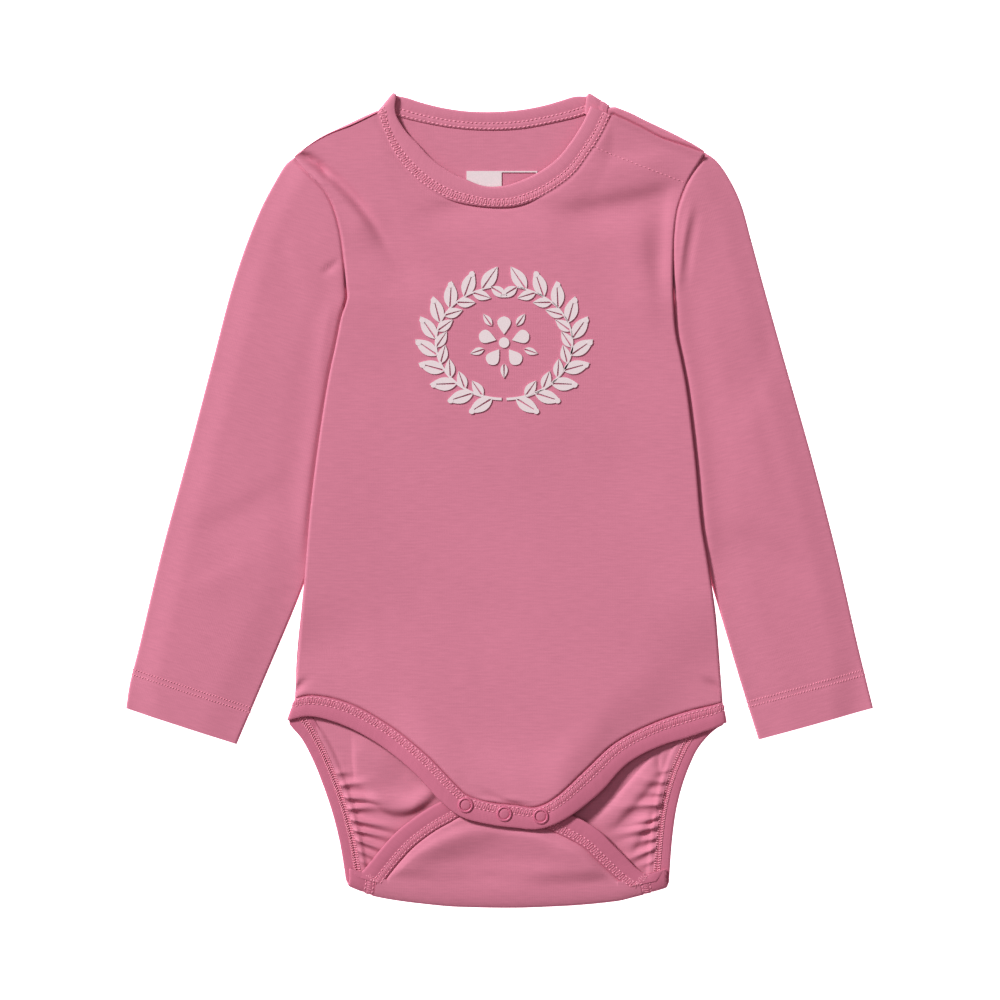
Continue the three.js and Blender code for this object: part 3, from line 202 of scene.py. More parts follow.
# Soft folds: x and y of one end, x and y of the other, how far it bows to its right, half
# width, height. Each is steeper on its left.
FRONT_FOLDS = [
    (-112, 191, -64, 143, -5.4, 3.6, -1.9), (-110, 186, -64, 134, -4, 4.6, 2),
    (-111, 190.5, -94, 178, -2.6, 1.9, -2.1),
    (-70, 152, -40, 116, 2, 12, -1.3), (-101, 179, -86, 146, 1, 3.4, 0.4),
    (34, 157, 102, 171, 2, 8, -2.2), (50, 181, 96, 187, 1, 8, 0.9),
    (90, 172, 87, 112, 1, 6.5, -1.3), (76, 150, 82, 96, 0, 8, 0.8),
    (-44, 156, 36, 157, -6, 7, -1.1), (-119, -113, -105, -98, -1, 1.7, -1.5),
    (128, -112, 112, -99, 1.5, 1.8, -1.6), (-9, -160, 17, -167, 1.5, 1.5, -1),
    (-16, -165, 20, -165, -1, 1.6, 0.5), (-60, -40, 10, -70, 4, 20, -0.5),
    (20, 30, 84, 4, -4, 18, -0.5), (-76, 60, -30, 40, 3, 16, 0.4),
]
BACK_FOLDS = [
    (92, -140, 40, -182, 0, 15, 0.9), (84, -138, 52, -175, 0.5, 3.6, -2.6),
    (88, -145, 56, -182, -1.5, 4.4, 1.5), (90, -160, 70, -196, 1, 3.5, 1.2),
    (87, -132, 88, -150, 0, 1.6, -1.1), (-84, -136, -56, -150, 0, 12, 1),
    (-34, -158, -76, -155, -13, 4.6, 2.9), (-83, -130, -81, -158, 0, 2.6, -0.9),
    (-80, 160, -30, 130, 4, 9, 0.9), (84, 150, 30, 118, -5, 11, 0.8),
    (-70, 20, 20, -6, 6, 12, 0.9), (76, -30, 6, -62, 5, 14, 1),
    (-90, -70, -40, -96, 3, 8, 0.8), (96, -84, 60, -112, -3, 7, 0.7),
]
SLEEVE_FOLDS = [
    (105, 162, 97, 112, 1, 2.6, 1.1), (109, 158, 103, 118, 1, 2.6, -0.5),
    (-98, 125, -84, 134, 0, 1.6, -1), (-92, 112, -100, 60, 1, 4, 0.5),
    (-168, -20, -112, 12, 3, 10, -0.7), (-172, -50, -130, -30, 2, 8, 0.4),
    (122, -20, 176, -46, -3, 11, -0.8), (134, 60, 150, -6, 2, 8, 0.5),
    (-124, 150, -106, 96, 3, 9, -0.6), (150, 96, 128, 40, -2, 10, -0.5),
]
# The same for the sleeves' undersides, which lie on the table but for these
UNDER_FOLDS = [
    (-165, 40, -118, 20, 3, 8, 0.8), (-176, -56, -124, -34, -2, 7, 0.7),
    (-132, 140, -100, 118, 2, 6, 0.8), (150, 60, 112, 34, -3, 8, 0.8),
    (180, -40, 128, -66, 3, 9, 0.8), (136, 138, 106, 112, -2, 6, 0.8),
]

# The soft folds' lean, and the shares of their length over which they rise and fade
FOLD_LEAN = 0.35
FOLD_RISE = (-0.15, 0.3)
FOLD_FADE = (0.6, 1.15)


# Curves and heights


def mix(a, b, t):
    """From a at 0 to b at 1."""
    return a + (b - a) * t


def unit(v):
    return v / np.maximum(np.linalg.norm(v, axis=-1, keepdims=True), 1e-9)


def smooth(low, high, value):
    """From 0 at low to 1 at high, level at both ends."""
    t = np.clip((np.asarray(value, float) - low) / (high - low), 0.0, 1.0)
    return t * t * (3 - 2 * t)


def rounded(inward, radius):
    """A fold's quarter circle: 0 at its outermost line, 1 at a radius in from it."""
    return np.sqrt(1 - np.maximum(1 - inward / radius, 0) ** 2)


def profile(rows):
    """A smooth function through rows of place and value that never overshoots them."""
    rows = np.array(sorted(rows), float)
    place, value = rows[:, 0], rows[:, 1]
    slope = np.diff(value) / np.diff(place)
    tangent = np.concatenate([slope[:1], np.zeros(len(slope) - 1), slope[-1:]])
    for i in range(1, len(slope)):
        product = slope[i - 1] * slope[i]
        if product > 0:
            tangent[i] = 2 * product / (slope[i - 1] + slope[i])

    def at(x):
        x = np.clip(x, place[0], place[-1])
        i = np.clip(np.searchsorted(place, x, side="right") - 1, 0, len(place) - 2)
        span = place[i + 1] - place[i]
        t = (x - place[i]) / span
        return (
            (1 + 2 * t) * (1 - t) ** 2 * value[i]
            + t * (1 - t) ** 2 * span * tangent[i]
            + t * t * (3 - 2 * t) * value[i + 1]
            + t * t * (t - 1) * span * tangent[i + 1]
        )

    return at


def lengths(points, power=1.0):
    """The length along a polyline at each of its points, or the sum of a power of its steps."""
    steps = np.linalg.norm(np.diff(points, axis=0), axis=1) ** power
    return np.concatenate([[0], np.cumsum(steps)])


def columns_at(at, place, points):
    """Points at new places along a line, from the place of each of its own points."""
    return np.stack([np.interp(at, place, column) for column in points.T], -1)


CURVE_STEPS = 24


def curve(points, steps):
    """steps + 1 points, evenly spaced along a smooth curve through the given ones."""
    p = np.asarray(points, float)
    p = np.vstack([2 * p[0] - p[1], p, 2 * p[-1] - p[-2]])
    knots = lengths(p, 0.5)
    fine = []
    for i in range(1, len(p) - 2):
        level, k = list(p[i - 1 : i + 3]), knots[i - 1 : i + 3]
        t = np.linspace(k[1], k[2], CURVE_STEPS, endpoint=False)[:, None]
        for starts, apart in (((0, 1, 2), 1), ((0, 1), 2), ((1,), 1)):
            level = [
                ((k[j + apart] - t) * a + (t - k[j]) * b) / (k[j + apart] - k[j])
                for j, a, b in zip(starts, level, level[1:])
            ]
        fine.append(level[0])
    fine = np.vstack([*fine, p[-2:-1]])
    return resample(fine, steps)


def resample(points, steps):
    """steps + 1 points, evenly spaced along a polyline."""
    length = lengths(points)
    return columns_at(np.linspace(0, length[-1], steps + 1), length, points)


def fold_height(folds, x, y):
    """How much a list of soft folds adds to the height at each place."""
    total = np.zeros(np.broadcast(x, y).shape)
    for x0, y0, x1, y1, bow, width, height in folds:
        dx, dy = x1 - x0, y1 - y0
        length = math.hypot(dx, dy)
        along = ((x - x0) * dx + (y - y0) * dy) / length**2
        off = ((x - x0) * dy - (y - y0) * dx) / length - 4 * bow * along * (1 - along)
        off = off / (width * (1 + FOLD_LEAN * np.tanh(off / width)))
        ends = smooth(*FOLD_RISE, along) * (1 - smooth(*FOLD_FADE, along))
        total = total + height * ends * np.exp(-(off**2))
    return total


def distance_to(line, x, y):
    """How far each place is from a polyline's points, some thousand places at a time."""
    places = np.stack([np.ravel(x), np.ravel(y)], 1)
    parts = np.array_split(places, len(places) // 4000 + 1)
    nearest = [((part[:, None] - line[None, :, :2]) ** 2).sum(2).min(1) for part in parts]
    return np.sqrt(np.concatenate(nearest)).reshape(np.shape(x))


def along_lines(x, y, lines):
    """Heights along lines, each given as its points, height and half width."""
    return sum(
        height * np.exp(-((distance_to(line, x, y) / width) ** 2)) for line, height, width in lines
    )


# Meshes


def add(name, data):
    piece = bpy.data.objects.new(name, data)
    bpy.context.scene.collection.objects.link(piece)
    return piece


def make(name, vertices, faces, uv, material, sharp=50):
    """A piece of the garment from points in millimetres. uv is their place in the cloth."""
    mesh = bpy.data.meshes.new(name)
    mesh.from_pydata((np.asarray(vertices) * MM).tolist(), [], faces)
    if uv is not None:
        layer = mesh.uv_layers.new(name="cloth")
        corner = np.empty(len(mesh.loops), np.int32)
        mesh.loops.foreach_get("vertex_index", corner)
        layer.data.foreach_set("uv", (np.asarray(uv)[corner] * MM).ravel())
    mesh.shade_smooth()
    mesh.set_sharp_from_angle(angle=math.radians(sharp))
    mesh.materials.append(material)
    piece = add(name, mesh)
    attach(piece, "root")
    return piece


def normals(grid, closed):
    """Outward unit normals of a grid whose rows run down and whose columns run across."""
    down = np.empty_like(grid)
    down[1:-1] = grid[2:] - grid[:-2]
    down[0], down[-1] = grid[1] - grid[0], grid[-1] - grid[-2]
    across = np.roll(grid, -1, 1) - np.roll(grid, 1, 1)
    if not closed:
        across[:, 0] = end_slope(grid[:, 0], grid[:, 1], grid[:, 2])
        across[:, -1] = -end_slope(grid[:, -1], grid[:, -2], grid[:, -3])
    n = np.cross(down, across)
    return n / np.maximum(np.linalg.norm(n, axis=2, keepdims=True), 1e-12)


def end_slope(a, b, c):
    """The direction of a curve at the first of three points on it."""
    ab = np.linalg.norm(b - a, axis=-1, keepdims=True)
    ac = ab + np.linalg.norm(c - b, axis=-1, keepdims=True)
    return (b - a) * ac**2 - (c - a) * ab**2


def wall(grid, thickness, closed=False, rise=None):
    """Points and faces of a closed wall whose outer face is the grid. rise lifts both faces."""
    inner = grid - normals(grid, closed) * thickness
    if rise is not None:
        grid, inner = grid + rise[..., None] * UP, inner + rise[..., None] * UP
    rows, columns = grid.shape[:2]
    count = rows * columns
    at = np.arange(count).reshape(rows, columns)
    if closed:
        at = np.hstack([at, at[:, :1]])

    def quads(a, b, c, d):
        return np.stack([a.ravel(), b.ravel(), c.ravel(), d.ravel()], 1)

    here, below = at[:-1, :-1], at[1:, :-1]
    right, diagonal = at[:-1, 1:], at[1:, 1:]
    faces = [
        quads(here, below, diagonal, right),
        quads(here + count, right + count, diagonal + count, below + count),
        quads(at[0, :-1] + count, at[0, :-1], at[0, 1:], at[0, 1:] + count),
        quads(at[-1, :-1], at[-1, :-1] + count, at[-1, 1:] + count, at[-1, 1:]),
    ]
    if not closed:
        faces += [
            quads(at[:-1, 0], at[:-1, 0] + count, at[1:, 0] + count, at[1:, 0]),
            quads(at[:-1, -1] + count, at[:-1, -1], at[1:, -1], at[1:, -1] + count),
        ]
    return np.vstack([grid.reshape(-1, 3), inner.reshape(-1, 3)]), np.vstack(faces)


def shell(name, grid, thickness, material, uv, closed=False, rise=None):
    vertices, faces = wall(grid, thickness, closed, rise)
    flat = uv.reshape(-1, 2)
    return make(name, vertices, faces.tolist(), np.vstack([flat, flat]), material)


# Bands


def band_pairs(table, steps):
    """A band's free edge and its seam, as points opposite each other."""
    rows = np.array(table, float)
    free, seam = curve(rows[:, :2], steps), curve(rows[:, 2:], steps)
    return free, beside((free, seam), -SEAM_GAP / 2)


def beside(pairs, gap):
    """A line beside a band's seam, by a gap outside the band or, where it is below 0, in it."""
    free, seam = pairs
    across = seam - free
    length = np.linalg.norm(across, axis=1, keepdims=True)
    return free + across * (length + gap) / length


def sections(pairs, z, normal):
    """Sections of a flat band: a point on its free edge, one on its seam, and its way up."""
    free, seam = pairs
    z = np.broadcast_to(z, len(free))
    normal = np.broadcast_to(normal, (len(free), 3))
    return np.hstack([free, z[:, None], seam, z[:, None], normal])


def turned(pair, out, radius, start, end, steps):
    """Sections that turn round a fold. 90 is the face up, 0 out over the fold, -90 down."""
    angle = np.radians(np.linspace(start, end, steps + 1))[:, None]
    normal = np.cos(angle) * out + np.sin(angle) * UP
    shift = radius * (normal - out + UP)
    free, seam = np.append(pair[0], 0.0), np.append(pair[1], 0.0)
    return np.hstack([free + shift, seam + shift, normal])


# Cross-section of a folded band: across from its free edge (0) to its seam (1), and up from
# its inner face (0) to its outer face (1). The grooves lie under the two rows of stitching.
ROWS = (0.62, 0.9)
BETWEEN_ROWS = 0.76
BAND_SECTION = [
    (0, 0.5), (0.012, 0.76), (0.045, 0.93), (0.12, 1), (0.34, 1), (0.55, 0.99),
    (ROWS[0], 0.87), (0.69, 0.99), (BETWEEN_ROWS, 1.02), (0.83, 0.99), (ROWS[1], 0.87),
    (0.95, 0.92), (0.985, 0.76), (1.0, 0.5), (0.985, 0.24), (0.95, 0.08), (ROWS[1], 0.13),
    (0.83, 0.01), (BETWEEN_ROWS, -0.02), (0.69, 0.01), (ROWS[0], 0.13), (0.55, 0.01),
    (0.12, 0.0), (0.045, 0.07), (0.012, 0.24),
]
BAND_STEP = 1.1
PUCKER, PUCKER_REACH = 0.05, 0.2


def place_on(path, across, up):
    """A line along a band at shares of its width and of its thickness."""
    free, seam, normal = path[:, :3], path[:, 3:6], path[:, 6:]
    return mix(free, seam, across) + normal * ((up - 1) * BAND)


def band(name, path, material):
    """A folded band through its sections, and the finer sections that it was made from. It
    puckers unevenly beside its stitching."""
    length = lengths(path[:, 3:6])[-1]
    path = curve(path, int(length / BAND_STEP))
    path[:, 6:] /= np.linalg.norm(path[:, 6:], axis=1, keepdims=True)
    along = np.arange(len(path)) * (length / len(path))
    wave = np.sin(along * 1.31 + 2 * np.sin(along * 0.17)) + np.sin(along * 0.73 + 1)
    count, ring = len(path), len(BAND_SECTION)
    vertices = np.empty((count, ring, 3))
    uv = np.empty((count, ring, 2))
    width = np.linalg.norm(path[:, :3] - path[:, 3:6], axis=1)
    for k, (across, up) in enumerate(BAND_SECTION):
        near = math.exp(-(((across - BETWEEN_ROWS) / PUCKER_REACH) ** 2))
        vertices[:, k] = place_on(path, across, up) + path[:, 6:] * (PUCKER * wave * near)[:, None]
        uv[:, k] = np.stack([across * width, along], 1)
    at = np.arange(count * ring).reshape(count, ring)
    at = np.hstack([at, at[:, :1]])
    a, b = at[:-1, :-1].ravel(), at[:-1, 1:].ravel()
    c, d = at[1:, 1:].ravel(), at[1:, :-1].ravel()
    faces = np.stack([a, d, c, b], 1).tolist()
    faces.append(at[0, :-1].tolist())
    faces.append(at[-1, :-1][::-1].tolist())
    return make(name, vertices.reshape(-1, 3), faces, uv.reshape(-1, 2), material), path


body_left, body_right = profile(BODY_LEFT), profile(BODY_RIGHT)
bottom_fold = profile(BOTTOM_FOLD)
front_centre, armhole, front_top = profile(FRONT_CENTRE), profile(ARMHOLE), profile(FRONT_TOP)
sleeve_seam, binding_height = profile(SLEEVE_SEAM), profile(FRONT_BINDING_HEIGHT)
inner_left = profile([(y, x) for x, y in SLEEVE_INNER_LEFT])
inner_right = profile([(y, x) for x, y in SLEEVE_INNER_RIGHT])

FINE = 260
front_pairs, tail_pairs = band_pairs(FRONT_BINDING, FINE), band_pairs(TAIL_BINDING, FINE)
back_left_pairs, back_right_pairs, neck_front_pairs, neck_back_pairs = (
    band_pairs(table, FINE)
    for table in (BACK_BINDING_LEFT, BACK_BINDING_RIGHT, NECK_FRONT, NECK_BACK)
)


def by_x(*lines):
    """Points of several lines, sorted from left to right."""
    points = np.vstack(lines)
    return points[np.argsort(points[:, 0], kind="stable")]


SHOULDER_STEPS = 40
NECK_FRONT_USED = slice(4, -8)
NECK_BACK_USED = slice(8, -8)
NECK_CORNER_POINTS = (8, 36)


def neck_edge(pairs):
    """The cloth's edge at the neck, further under the band where that turns over."""
    lap = NECK_CORNER_LAP * (1 - smooth(*NECK_CORNER_POINTS, np.arange(FINE + 1)))
    return beside(pairs, PANEL_GAP - lap[:, None])


front_top_line = by_x(
    curve(FRONT_SHOULDER_LEFT, SHOULDER_STEPS),
    neck_edge(neck_front_pairs)[NECK_FRONT_USED],
    curve(FRONT_SHOULDER_RIGHT, SHOULDER_STEPS),
)
back_top_line = by_x(
    curve(SHOULDER_FOLD_LEFT, SHOULDER_STEPS),
    neck_edge(neck_back_pairs)[NECK_BACK_USED],
    curve(SHOULDER_FOLD_RIGHT, SHOULDER_STEPS),
)
front_lower_line = beside(front_pairs, PANEL_GAP)
tail_line = by_x(beside(tail_pairs, PANEL_GAP))


def y_of(line):
    """A function that gives a line's y at each x."""
    return lambda x: np.interp(x, line[:, 0], line[:, 1])


front_upper, front_lower = y_of(front_top_line), y_of(front_lower_line)
back_upper, tail_seam = y_of(back_top_line), y_of(tail_line)


# Body


def lift(x, y):
    """How far the body's underside is raised by the sleeve under its side."""
    armpit = 1 - smooth(*ARMPIT, y)
    wedge = smooth(*SLEEVE_LEAVES, y)
    left = 1 - smooth(LIFT_FULL, LIFT_END, x - inner_left(y))
    right = 1 - smooth(LIFT_FULL, LIFT_END, inner_right(y) - x)
    return SLEEVE_LIFT * armpit * wedge * np.maximum(left, right)


def side_fold(y):
    """1 where the front and back meet in a side seam, and 0 beside the armholes."""
    return 1 - smooth(*SIDE_SEAM_TOP, y)


def front_height(x, y):
    """Upper face of the front panel, before its side folds and its seams."""
    left, right = x - body_left(y), body_right(y) - x
    edge = np.where(left < right, body_left(y), body_right(y))
    side = mix(armhole(y), lift(edge, y) + 2 * SIDE_ROLL, side_fold(y))
    z = mix(side, front_centre(y), smooth(0, SIDE_BLEND, np.minimum(left, right)))
    z = mix(binding_height(x), z, smooth(0, LOWER_BLEND, y - front_lower(x)))
    z = mix(front_top(x), z, smooth(0, UPPER_BLEND, front_upper(x) - y))
    return z + fold_height(FRONT_FOLDS, x, y)


ROLL_IN = SIDE_ROLL * (1 - np.cos(np.radians([0, 15, 30, 45, 60, 75, 90])))


def column_places(inside):
    """Shares between a panel's sides, how far in from them each column starts, and how far
    into the side folds it lies. Between the folds the shares run from 0 to 1."""
    count, middle = len(ROLL_IN), np.full(len(inside), SIDE_ROLL)
    share = np.concatenate([np.zeros(count), inside, np.ones(count)])
    inset = np.concatenate([ROLL_IN, mix(middle, -middle, inside), -ROLL_IN[::-1]])
    in_fold = np.concatenate([ROLL_IN, middle, ROLL_IN[::-1]])
    return share, inset, in_fold


def rolled(z, seam, in_fold):
    """Height in a side fold, from the seam at its outermost line to the face."""
    return mix(seam, z, rounded(in_fold, SIDE_ROLL))


CLOSE = np.array([0, 0.3, 0.7, 1.2, 1.8, 2.6, 3.6, 4.8])
PANEL_LENGTH, ROW_STEP = 315, 1.9
FRONT_WIDTH, COLUMN_STEP = 222, 1.7


def spread(length, step):
    """Shares from 0 to 1 along a length, a step apart, and closer together near both ends."""
    close = CLOSE / length
    between = int((length - 2 * CLOSE[-1]) / step)
    middle = np.linspace(close[-1], 1 - close[-1], between + 1)
    return np.concatenate([close[:-1], middle, 1 - close[:-1][::-1]])


LEFT_ARMHOLE, RIGHT_ARMHOLE = np.linspace(188, 112, 150), np.linspace(190, 112, 150)


def front_panel():
    v = spread(PANEL_LENGTH, ROW_STEP)[:, None]
    share, inset, in_fold = column_places(spread(FRONT_WIDTH, COLUMN_STEP)[1:-1])
    gap = SEAM_GAP / 2

    def across(left, right):
        return mix(left, right, share) + inset

    left_y = mix(BODY_LEFT[0][0], BODY_LEFT[-1][0], v)
    right_y = mix(BODY_RIGHT[0][0], BODY_RIGHT[-1][0], v)
    bent = across(body_left(left_y) + gap, body_right(right_y) - gap)
    start = mix(BODY_LEFT[0][1], BODY_LEFT[-1][1], v)
    end = mix(BODY_RIGHT[0][1], BODY_RIGHT[-1][1], v)
    x = mix(across(start, end), bent, (2 * share - 1) ** 2)
    top_x = across(BODY_LEFT[0][1] + gap, BODY_RIGHT[0][1] - gap)
    low_x = across(BODY_LEFT[-1][1] + gap, BODY_RIGHT[-1][1] - gap)
    y = mix(front_upper(top_x), front_lower(low_x), v)
    z = front_height(x, y)
    z = mix(z, rolled(z, lift(x, y) + SIDE_ROLL + SIDE_GAP, in_fold), side_fold(y))
    grid = np.stack([x, y, z], 2)

    # The cloth turns down into its seams, and stands up where it laps over the right shoulder.
    arms = np.vstack([
        np.stack([body_left(LEFT_ARMHOLE), LEFT_ARMHOLE], 1),
        np.stack([body_right(RIGHT_ARMHOLE), RIGHT_ARMHOLE], 1),
    ])
    rise = along_lines(x, y, [
        (beside(neck_front_pairs, 0), -0.25, 1.0),
        (front_lower_line, -1.5, 0.95),
        (arms, -0.8, 0.7),
        (curve(FRONT_SHOULDER_RIGHT, 90), 0.7, 2.5),
    ])
    return shell("front_cloth", grid, JERSEY, jersey, grid[..., :2], rise=rise)


def edge_rows(body, pairs, inwards):
    """The back's side as rows of y and x, which goes on under the leg binding."""
    corner = (body[-1][0] + CORNER_GAP, body[-1][1] + inwards * CORNER_GAP)
    leg = [(y, x) for x, y in beside(pairs, -LEG_LAP)[8::16]]
    return [*body[:-1], corner, *leg]


back_left = profile(edge_rows(BODY_LEFT, back_left_pairs, 1))
back_right = profile(edge_rows(BODY_RIGHT, back_right_pairs, -1))


def back_folds(x, y):
    """The back's folds, none of which goes below the table."""
    return np.maximum(fold_height(BACK_FOLDS, x, y), 0)


# Gathers beside the back leg seams: y at the seam, reach inwards, drop over that reach,
# half width, height
GATHERS_LEFT = [
    (-150.5, 8, 0.5, 1.1, 1.2), (-157, 13, 1.5, 1.3, 2.1), (-163.4, 18, -1.5, 1.5, 2.8),
    (-169.8, 15, 0.5, 1.3, 2.6), (-175.6, 21, -4.5, 1.5, 3.1), (-181.4, 17, -4, 1.2, 2.8),
    (-186.6, 18, -7, 1.4, 2.7), (-192.6, 11, -5, 1.2, 1.9), (-198.4, 7, -3, 1.1, 1.1),
]
GATHERS_RIGHT = [
    (-148.5, 7, -1, 1.1, 0.9), (-155.4, 11, 1.5, 1.4, 1.8), (-161.6, 9, 1, 1.2, 1.6),
    (-167.2, 17, -1, 1.5, 2.4), (-174.2, 12, -3, 1.3, 2.2), (-179.6, 18, -3.5, 1.5, 2.6),
    (-186, 11, -2, 1.3, 2.1), (-191.4, 14, -6, 1.4, 2), (-198.4, 7, -2.5, 1.1, 1.1),
]


def gather_rise(x, y):
    total = np.zeros(np.broadcast(x, y).shape)
    for rows, inward in ((GATHERS_LEFT, x - back_left(y)), (GATHERS_RIGHT, back_right(y) - x)):
        for seam_y, reach, drop, width, height in rows:
            t = np.clip(inward / reach, 0, 2.5)
            off = y - (seam_y + drop * t)
            fade = np.exp(-(t**2))
            crest = height * fade * np.exp(-((off / (width * (1 + 0.8 * t))) ** 2))
            total = np.maximum(total, crest * mix(0.4, 1.0, smooth(0, 3, inward)))
    return total


TAIL_HIGH, TAIL_FOLDS_FULL = 34, 20
TAIL_FOLDS = [
    (-14, -176, 6, -232, 0, 26, -1.8), (-60, -207, 56, -206.5, -25, 6.5, 2.1),
    (34, -186, 60, -222, 0, 16, 0.8), (-70, -204, 76, -204, 2, 8, 1),
]


def tail_turn(angle):
    """How far in from the bottom fold's outermost line, and how high, the turning cloth is."""
    reach = np.where(angle > math.pi / 2, TAIL_REACH, TAIL_ROLL)
    return reach * (1 - np.sin(angle)), TAIL_ROLL * (1 - np.cos(angle))


def tail_height(x, y):
    """Upper face of the tail, which slopes up from its bottom fold to under the flap."""
    up = y - bottom_fold(x)
    high = 2 * TAIL_ROLL + TAIL_RISE * smooth(TAIL_REACH, TAIL_HIGH, up)
    within = smooth(0.5, 7, tail_seam(x) - y) * smooth(TAIL_REACH, TAIL_FOLDS_FULL, up)
    return high + fold_height(TAIL_FOLDS, x, y) * within


def shoulder_fold(x):
    """Radius of the shoulder's fold at each x, and the length of cloth that has gone over."""
    left, right = SHOULDER_FOLD_LEFT[-1][0], SHOULDER_FOLD_RIGHT[0][0]
    strip = back_upper(x) - front_upper(x) - SEAM_GAP - 0.6 * JERSEY
    roll = LEFT_SHOULDER_ROLL
    angle = math.pi - np.arcsin(np.clip(1 - strip / roll, 0, 0.95))
    over_left = (angle * roll + np.maximum(strip - roll, 0)) * (1 - smooth(left + 2, left + 4, x))
    over_right = (math.pi * RIGHT_SHOULDER_ROLL + UNDERLAP) * smooth(right - 8, right - 6, x)
    on_left, on_right = x < left + 4, x > right - 8
    radius = np.where(on_right, RIGHT_SHOULDER_ROLL, LEFT_SHOULDER_ROLL)
    return radius, np.where(on_left, over_left, np.where(on_right, over_right, 0))


def over_fold(s, radius):
    angle = np.clip(s / radius, 0, math.pi)
    past = np.maximum(s - math.pi * radius, 0) - np.minimum(s, 0)
    return radius - radius * np.sin(angle) + past, radius * (1 - np.cos(angle))


FLAT_BELOW_FOLD = 12.0
SHOULDER_ROWS = 28
# The flat back's rows of points: first y, last y and count
FLAT_ROWS = [(187, 120, 23), (116, -90, 42), (-93, -148, 38), (-149, -206, 96)]
BOTTOM_ROWS = 13
TAIL_ROWS = np.concatenate([np.linspace(0.04, 0.92, 22), [0.95, 0.97, 0.985, 1.0]])
# Its columns: shares close together near the sides, and x at the neckline's corners
NEAR_COLUMNS, MIDDLE_COLUMNS = np.linspace(0.0045, 0.13, 32), np.linspace(0.142, 0.858, 60)
CORNER_COLUMNS = np.array([
    -68.6, -67.6, -66.6, -65.6, -64.6, -63.6, 55.8, 56.8, 57.8, 60.5, 62.2, 63.8, 65,
])


def back_panel():
    top_left, top_right = BODY_LEFT[0][1], BODY_RIGHT[0][1]
    corners = (CORNER_COLUMNS - top_left) / (top_right - top_left)
    inside = [NEAR_COLUMNS, MIDDLE_COLUMNS, corners, 1 - NEAR_COLUMNS]
    share, inset, in_fold = column_places(np.unique(np.concatenate(inside)))
    gap = SEAM_GAP / 2

    def across(left, right):
        return mix(left, right, share) + inset

    top_x = across(top_left + gap, top_right - gap)
    top_y = back_upper(top_x)
    rows = []
    radius, over = shoulder_fold(top_x)
    for part in np.linspace(1, 0, SHOULDER_ROWS):
        down, z = over_fold(part * over, radius)
        y = top_y - np.where(over > 0, down, (1 - part) * FLAT_BELOW_FOLD)
        x = across(back_left(y) + gap, back_right(y) - gap)
        rows.append(np.stack([x, y, z], 1))
    flat_rows = np.concatenate([np.linspace(*part) for part in FLAT_ROWS])
    first, flat_top = flat_rows[0], top_y - FLAT_BELOW_FOLD - 4
    for row in flat_rows:
        y = row + (flat_top - first) * smooth(118, first, row)
        x = across(back_left(y) + gap, back_right(y) - gap)
        z = lift(x, y) + back_folds(x, y) * smooth(-212, -200, y)
        seam = lift(x, y) + SIDE_ROLL - SIDE_GAP
        z = mix(z, rolled(z, seam, in_fold), side_fold(y) * smooth(*SIDE_SEAM_END, y))
        rows.append(np.stack([x, y, z], 1))

    # The bottom fold, and then the tail up to its binding
    low_left = beside(back_left_pairs, SEAM_GAP)[-1][0] + TAIL_GAP
    low_right = beside(back_right_pairs, SEAM_GAP)[-1][0] - TAIL_GAP
    high_left = beside(tail_pairs, SEAM_GAP)[0][0] + TAIL_GAP
    high_right = beside(tail_pairs, SEAM_GAP)[-1][0] - TAIL_GAP
    for t in np.linspace(0, 1, BOTTOM_ROWS):
        x = across(mix(low_left, high_left, t), mix(low_right, high_right, t))
        inward, high = tail_turn(math.pi * t)
        rows.append(np.stack([x, bottom_fold(x) + inward, np.full(len(x), high)], 1))
    x = across(high_left, high_right)
    start = bottom_fold(x) + TAIL_REACH
    end = np.maximum(tail_seam(x), start + 1.2)
    for t in TAIL_ROWS:
        y = mix(start, end, t)
        rows.append(np.stack([x, y, tail_height(x, y)], 1))
    grid = np.stack(rows)
    x, y = grid[..., 0], grid[..., 1]
    number = np.arange(len(rows))[:, None]
    on_floor = (number >= SHOULDER_ROWS) & (number < SHOULDER_ROWS + len(flat_rows))
    inward = np.minimum(x - back_left(y), back_right(y) - x)
    on_binding = (BAND - JERSEY + 0.12) * (1 - smooth(LEG_LAP - 1.2, LEG_LAP + 1.5, inward))
    on_binding *= 1 - smooth(-130, -118, y)
    rise = (gather_rise(x, y) + on_binding) * on_floor
    rise += along_lines(x, y, [(tail_line, -1.1, 1.1)]) * (number >= len(rows) - len(TAIL_ROWS))

    # The strip over the right shoulder goes down under the front's edge.
    under_front = curve(FRONT_SHOULDER_RIGHT, 200) + (0.35, 0.75)
    on_top = smooth(2.4, 3.2, grid[..., 2]) * (number < SHOULDER_ROWS)
    rise += along_lines(x, y, [(under_front, -1.3, 0.9)]) * on_top
    back = grid[:, ::-1]
    return shell("back_cloth", back, JERSEY, jersey, back[..., :2], rise=rise[:, ::-1])


# Sleeves

# How far from a cuff's end each of its two rows of stitching is
CUFF_ROWS = (21.6, 18.8)
HEM_DIP, HEM_HALF = 0.16, 0.7
SLEEVE_ROLL_IN = SLEEVE_EDGE_ROLL * (1 - np.cos(np.radians([0, 18, 36, 54, 72, 90])))
SLEEVE_COLUMNS = 52
# The corner of a sleeve's top below its armpit: how far in from the body's side, and its y
ARMPIT_CORNER = (1.5, 104.5)
SLEEVE_POINTS, ARM_POINTS = 600, 400


def hem_line(surface, out, distance, row):
    """The closed line round a sleeve at a distance from its end, with the way that it faces."""
    both = np.concatenate([surface, out], 2)
    columns = range(both.shape[1])
    line = [columns_at(row, distance[::-1, k], both[::-1, k]) for k in columns]
    return np.array([*line, line[0]])


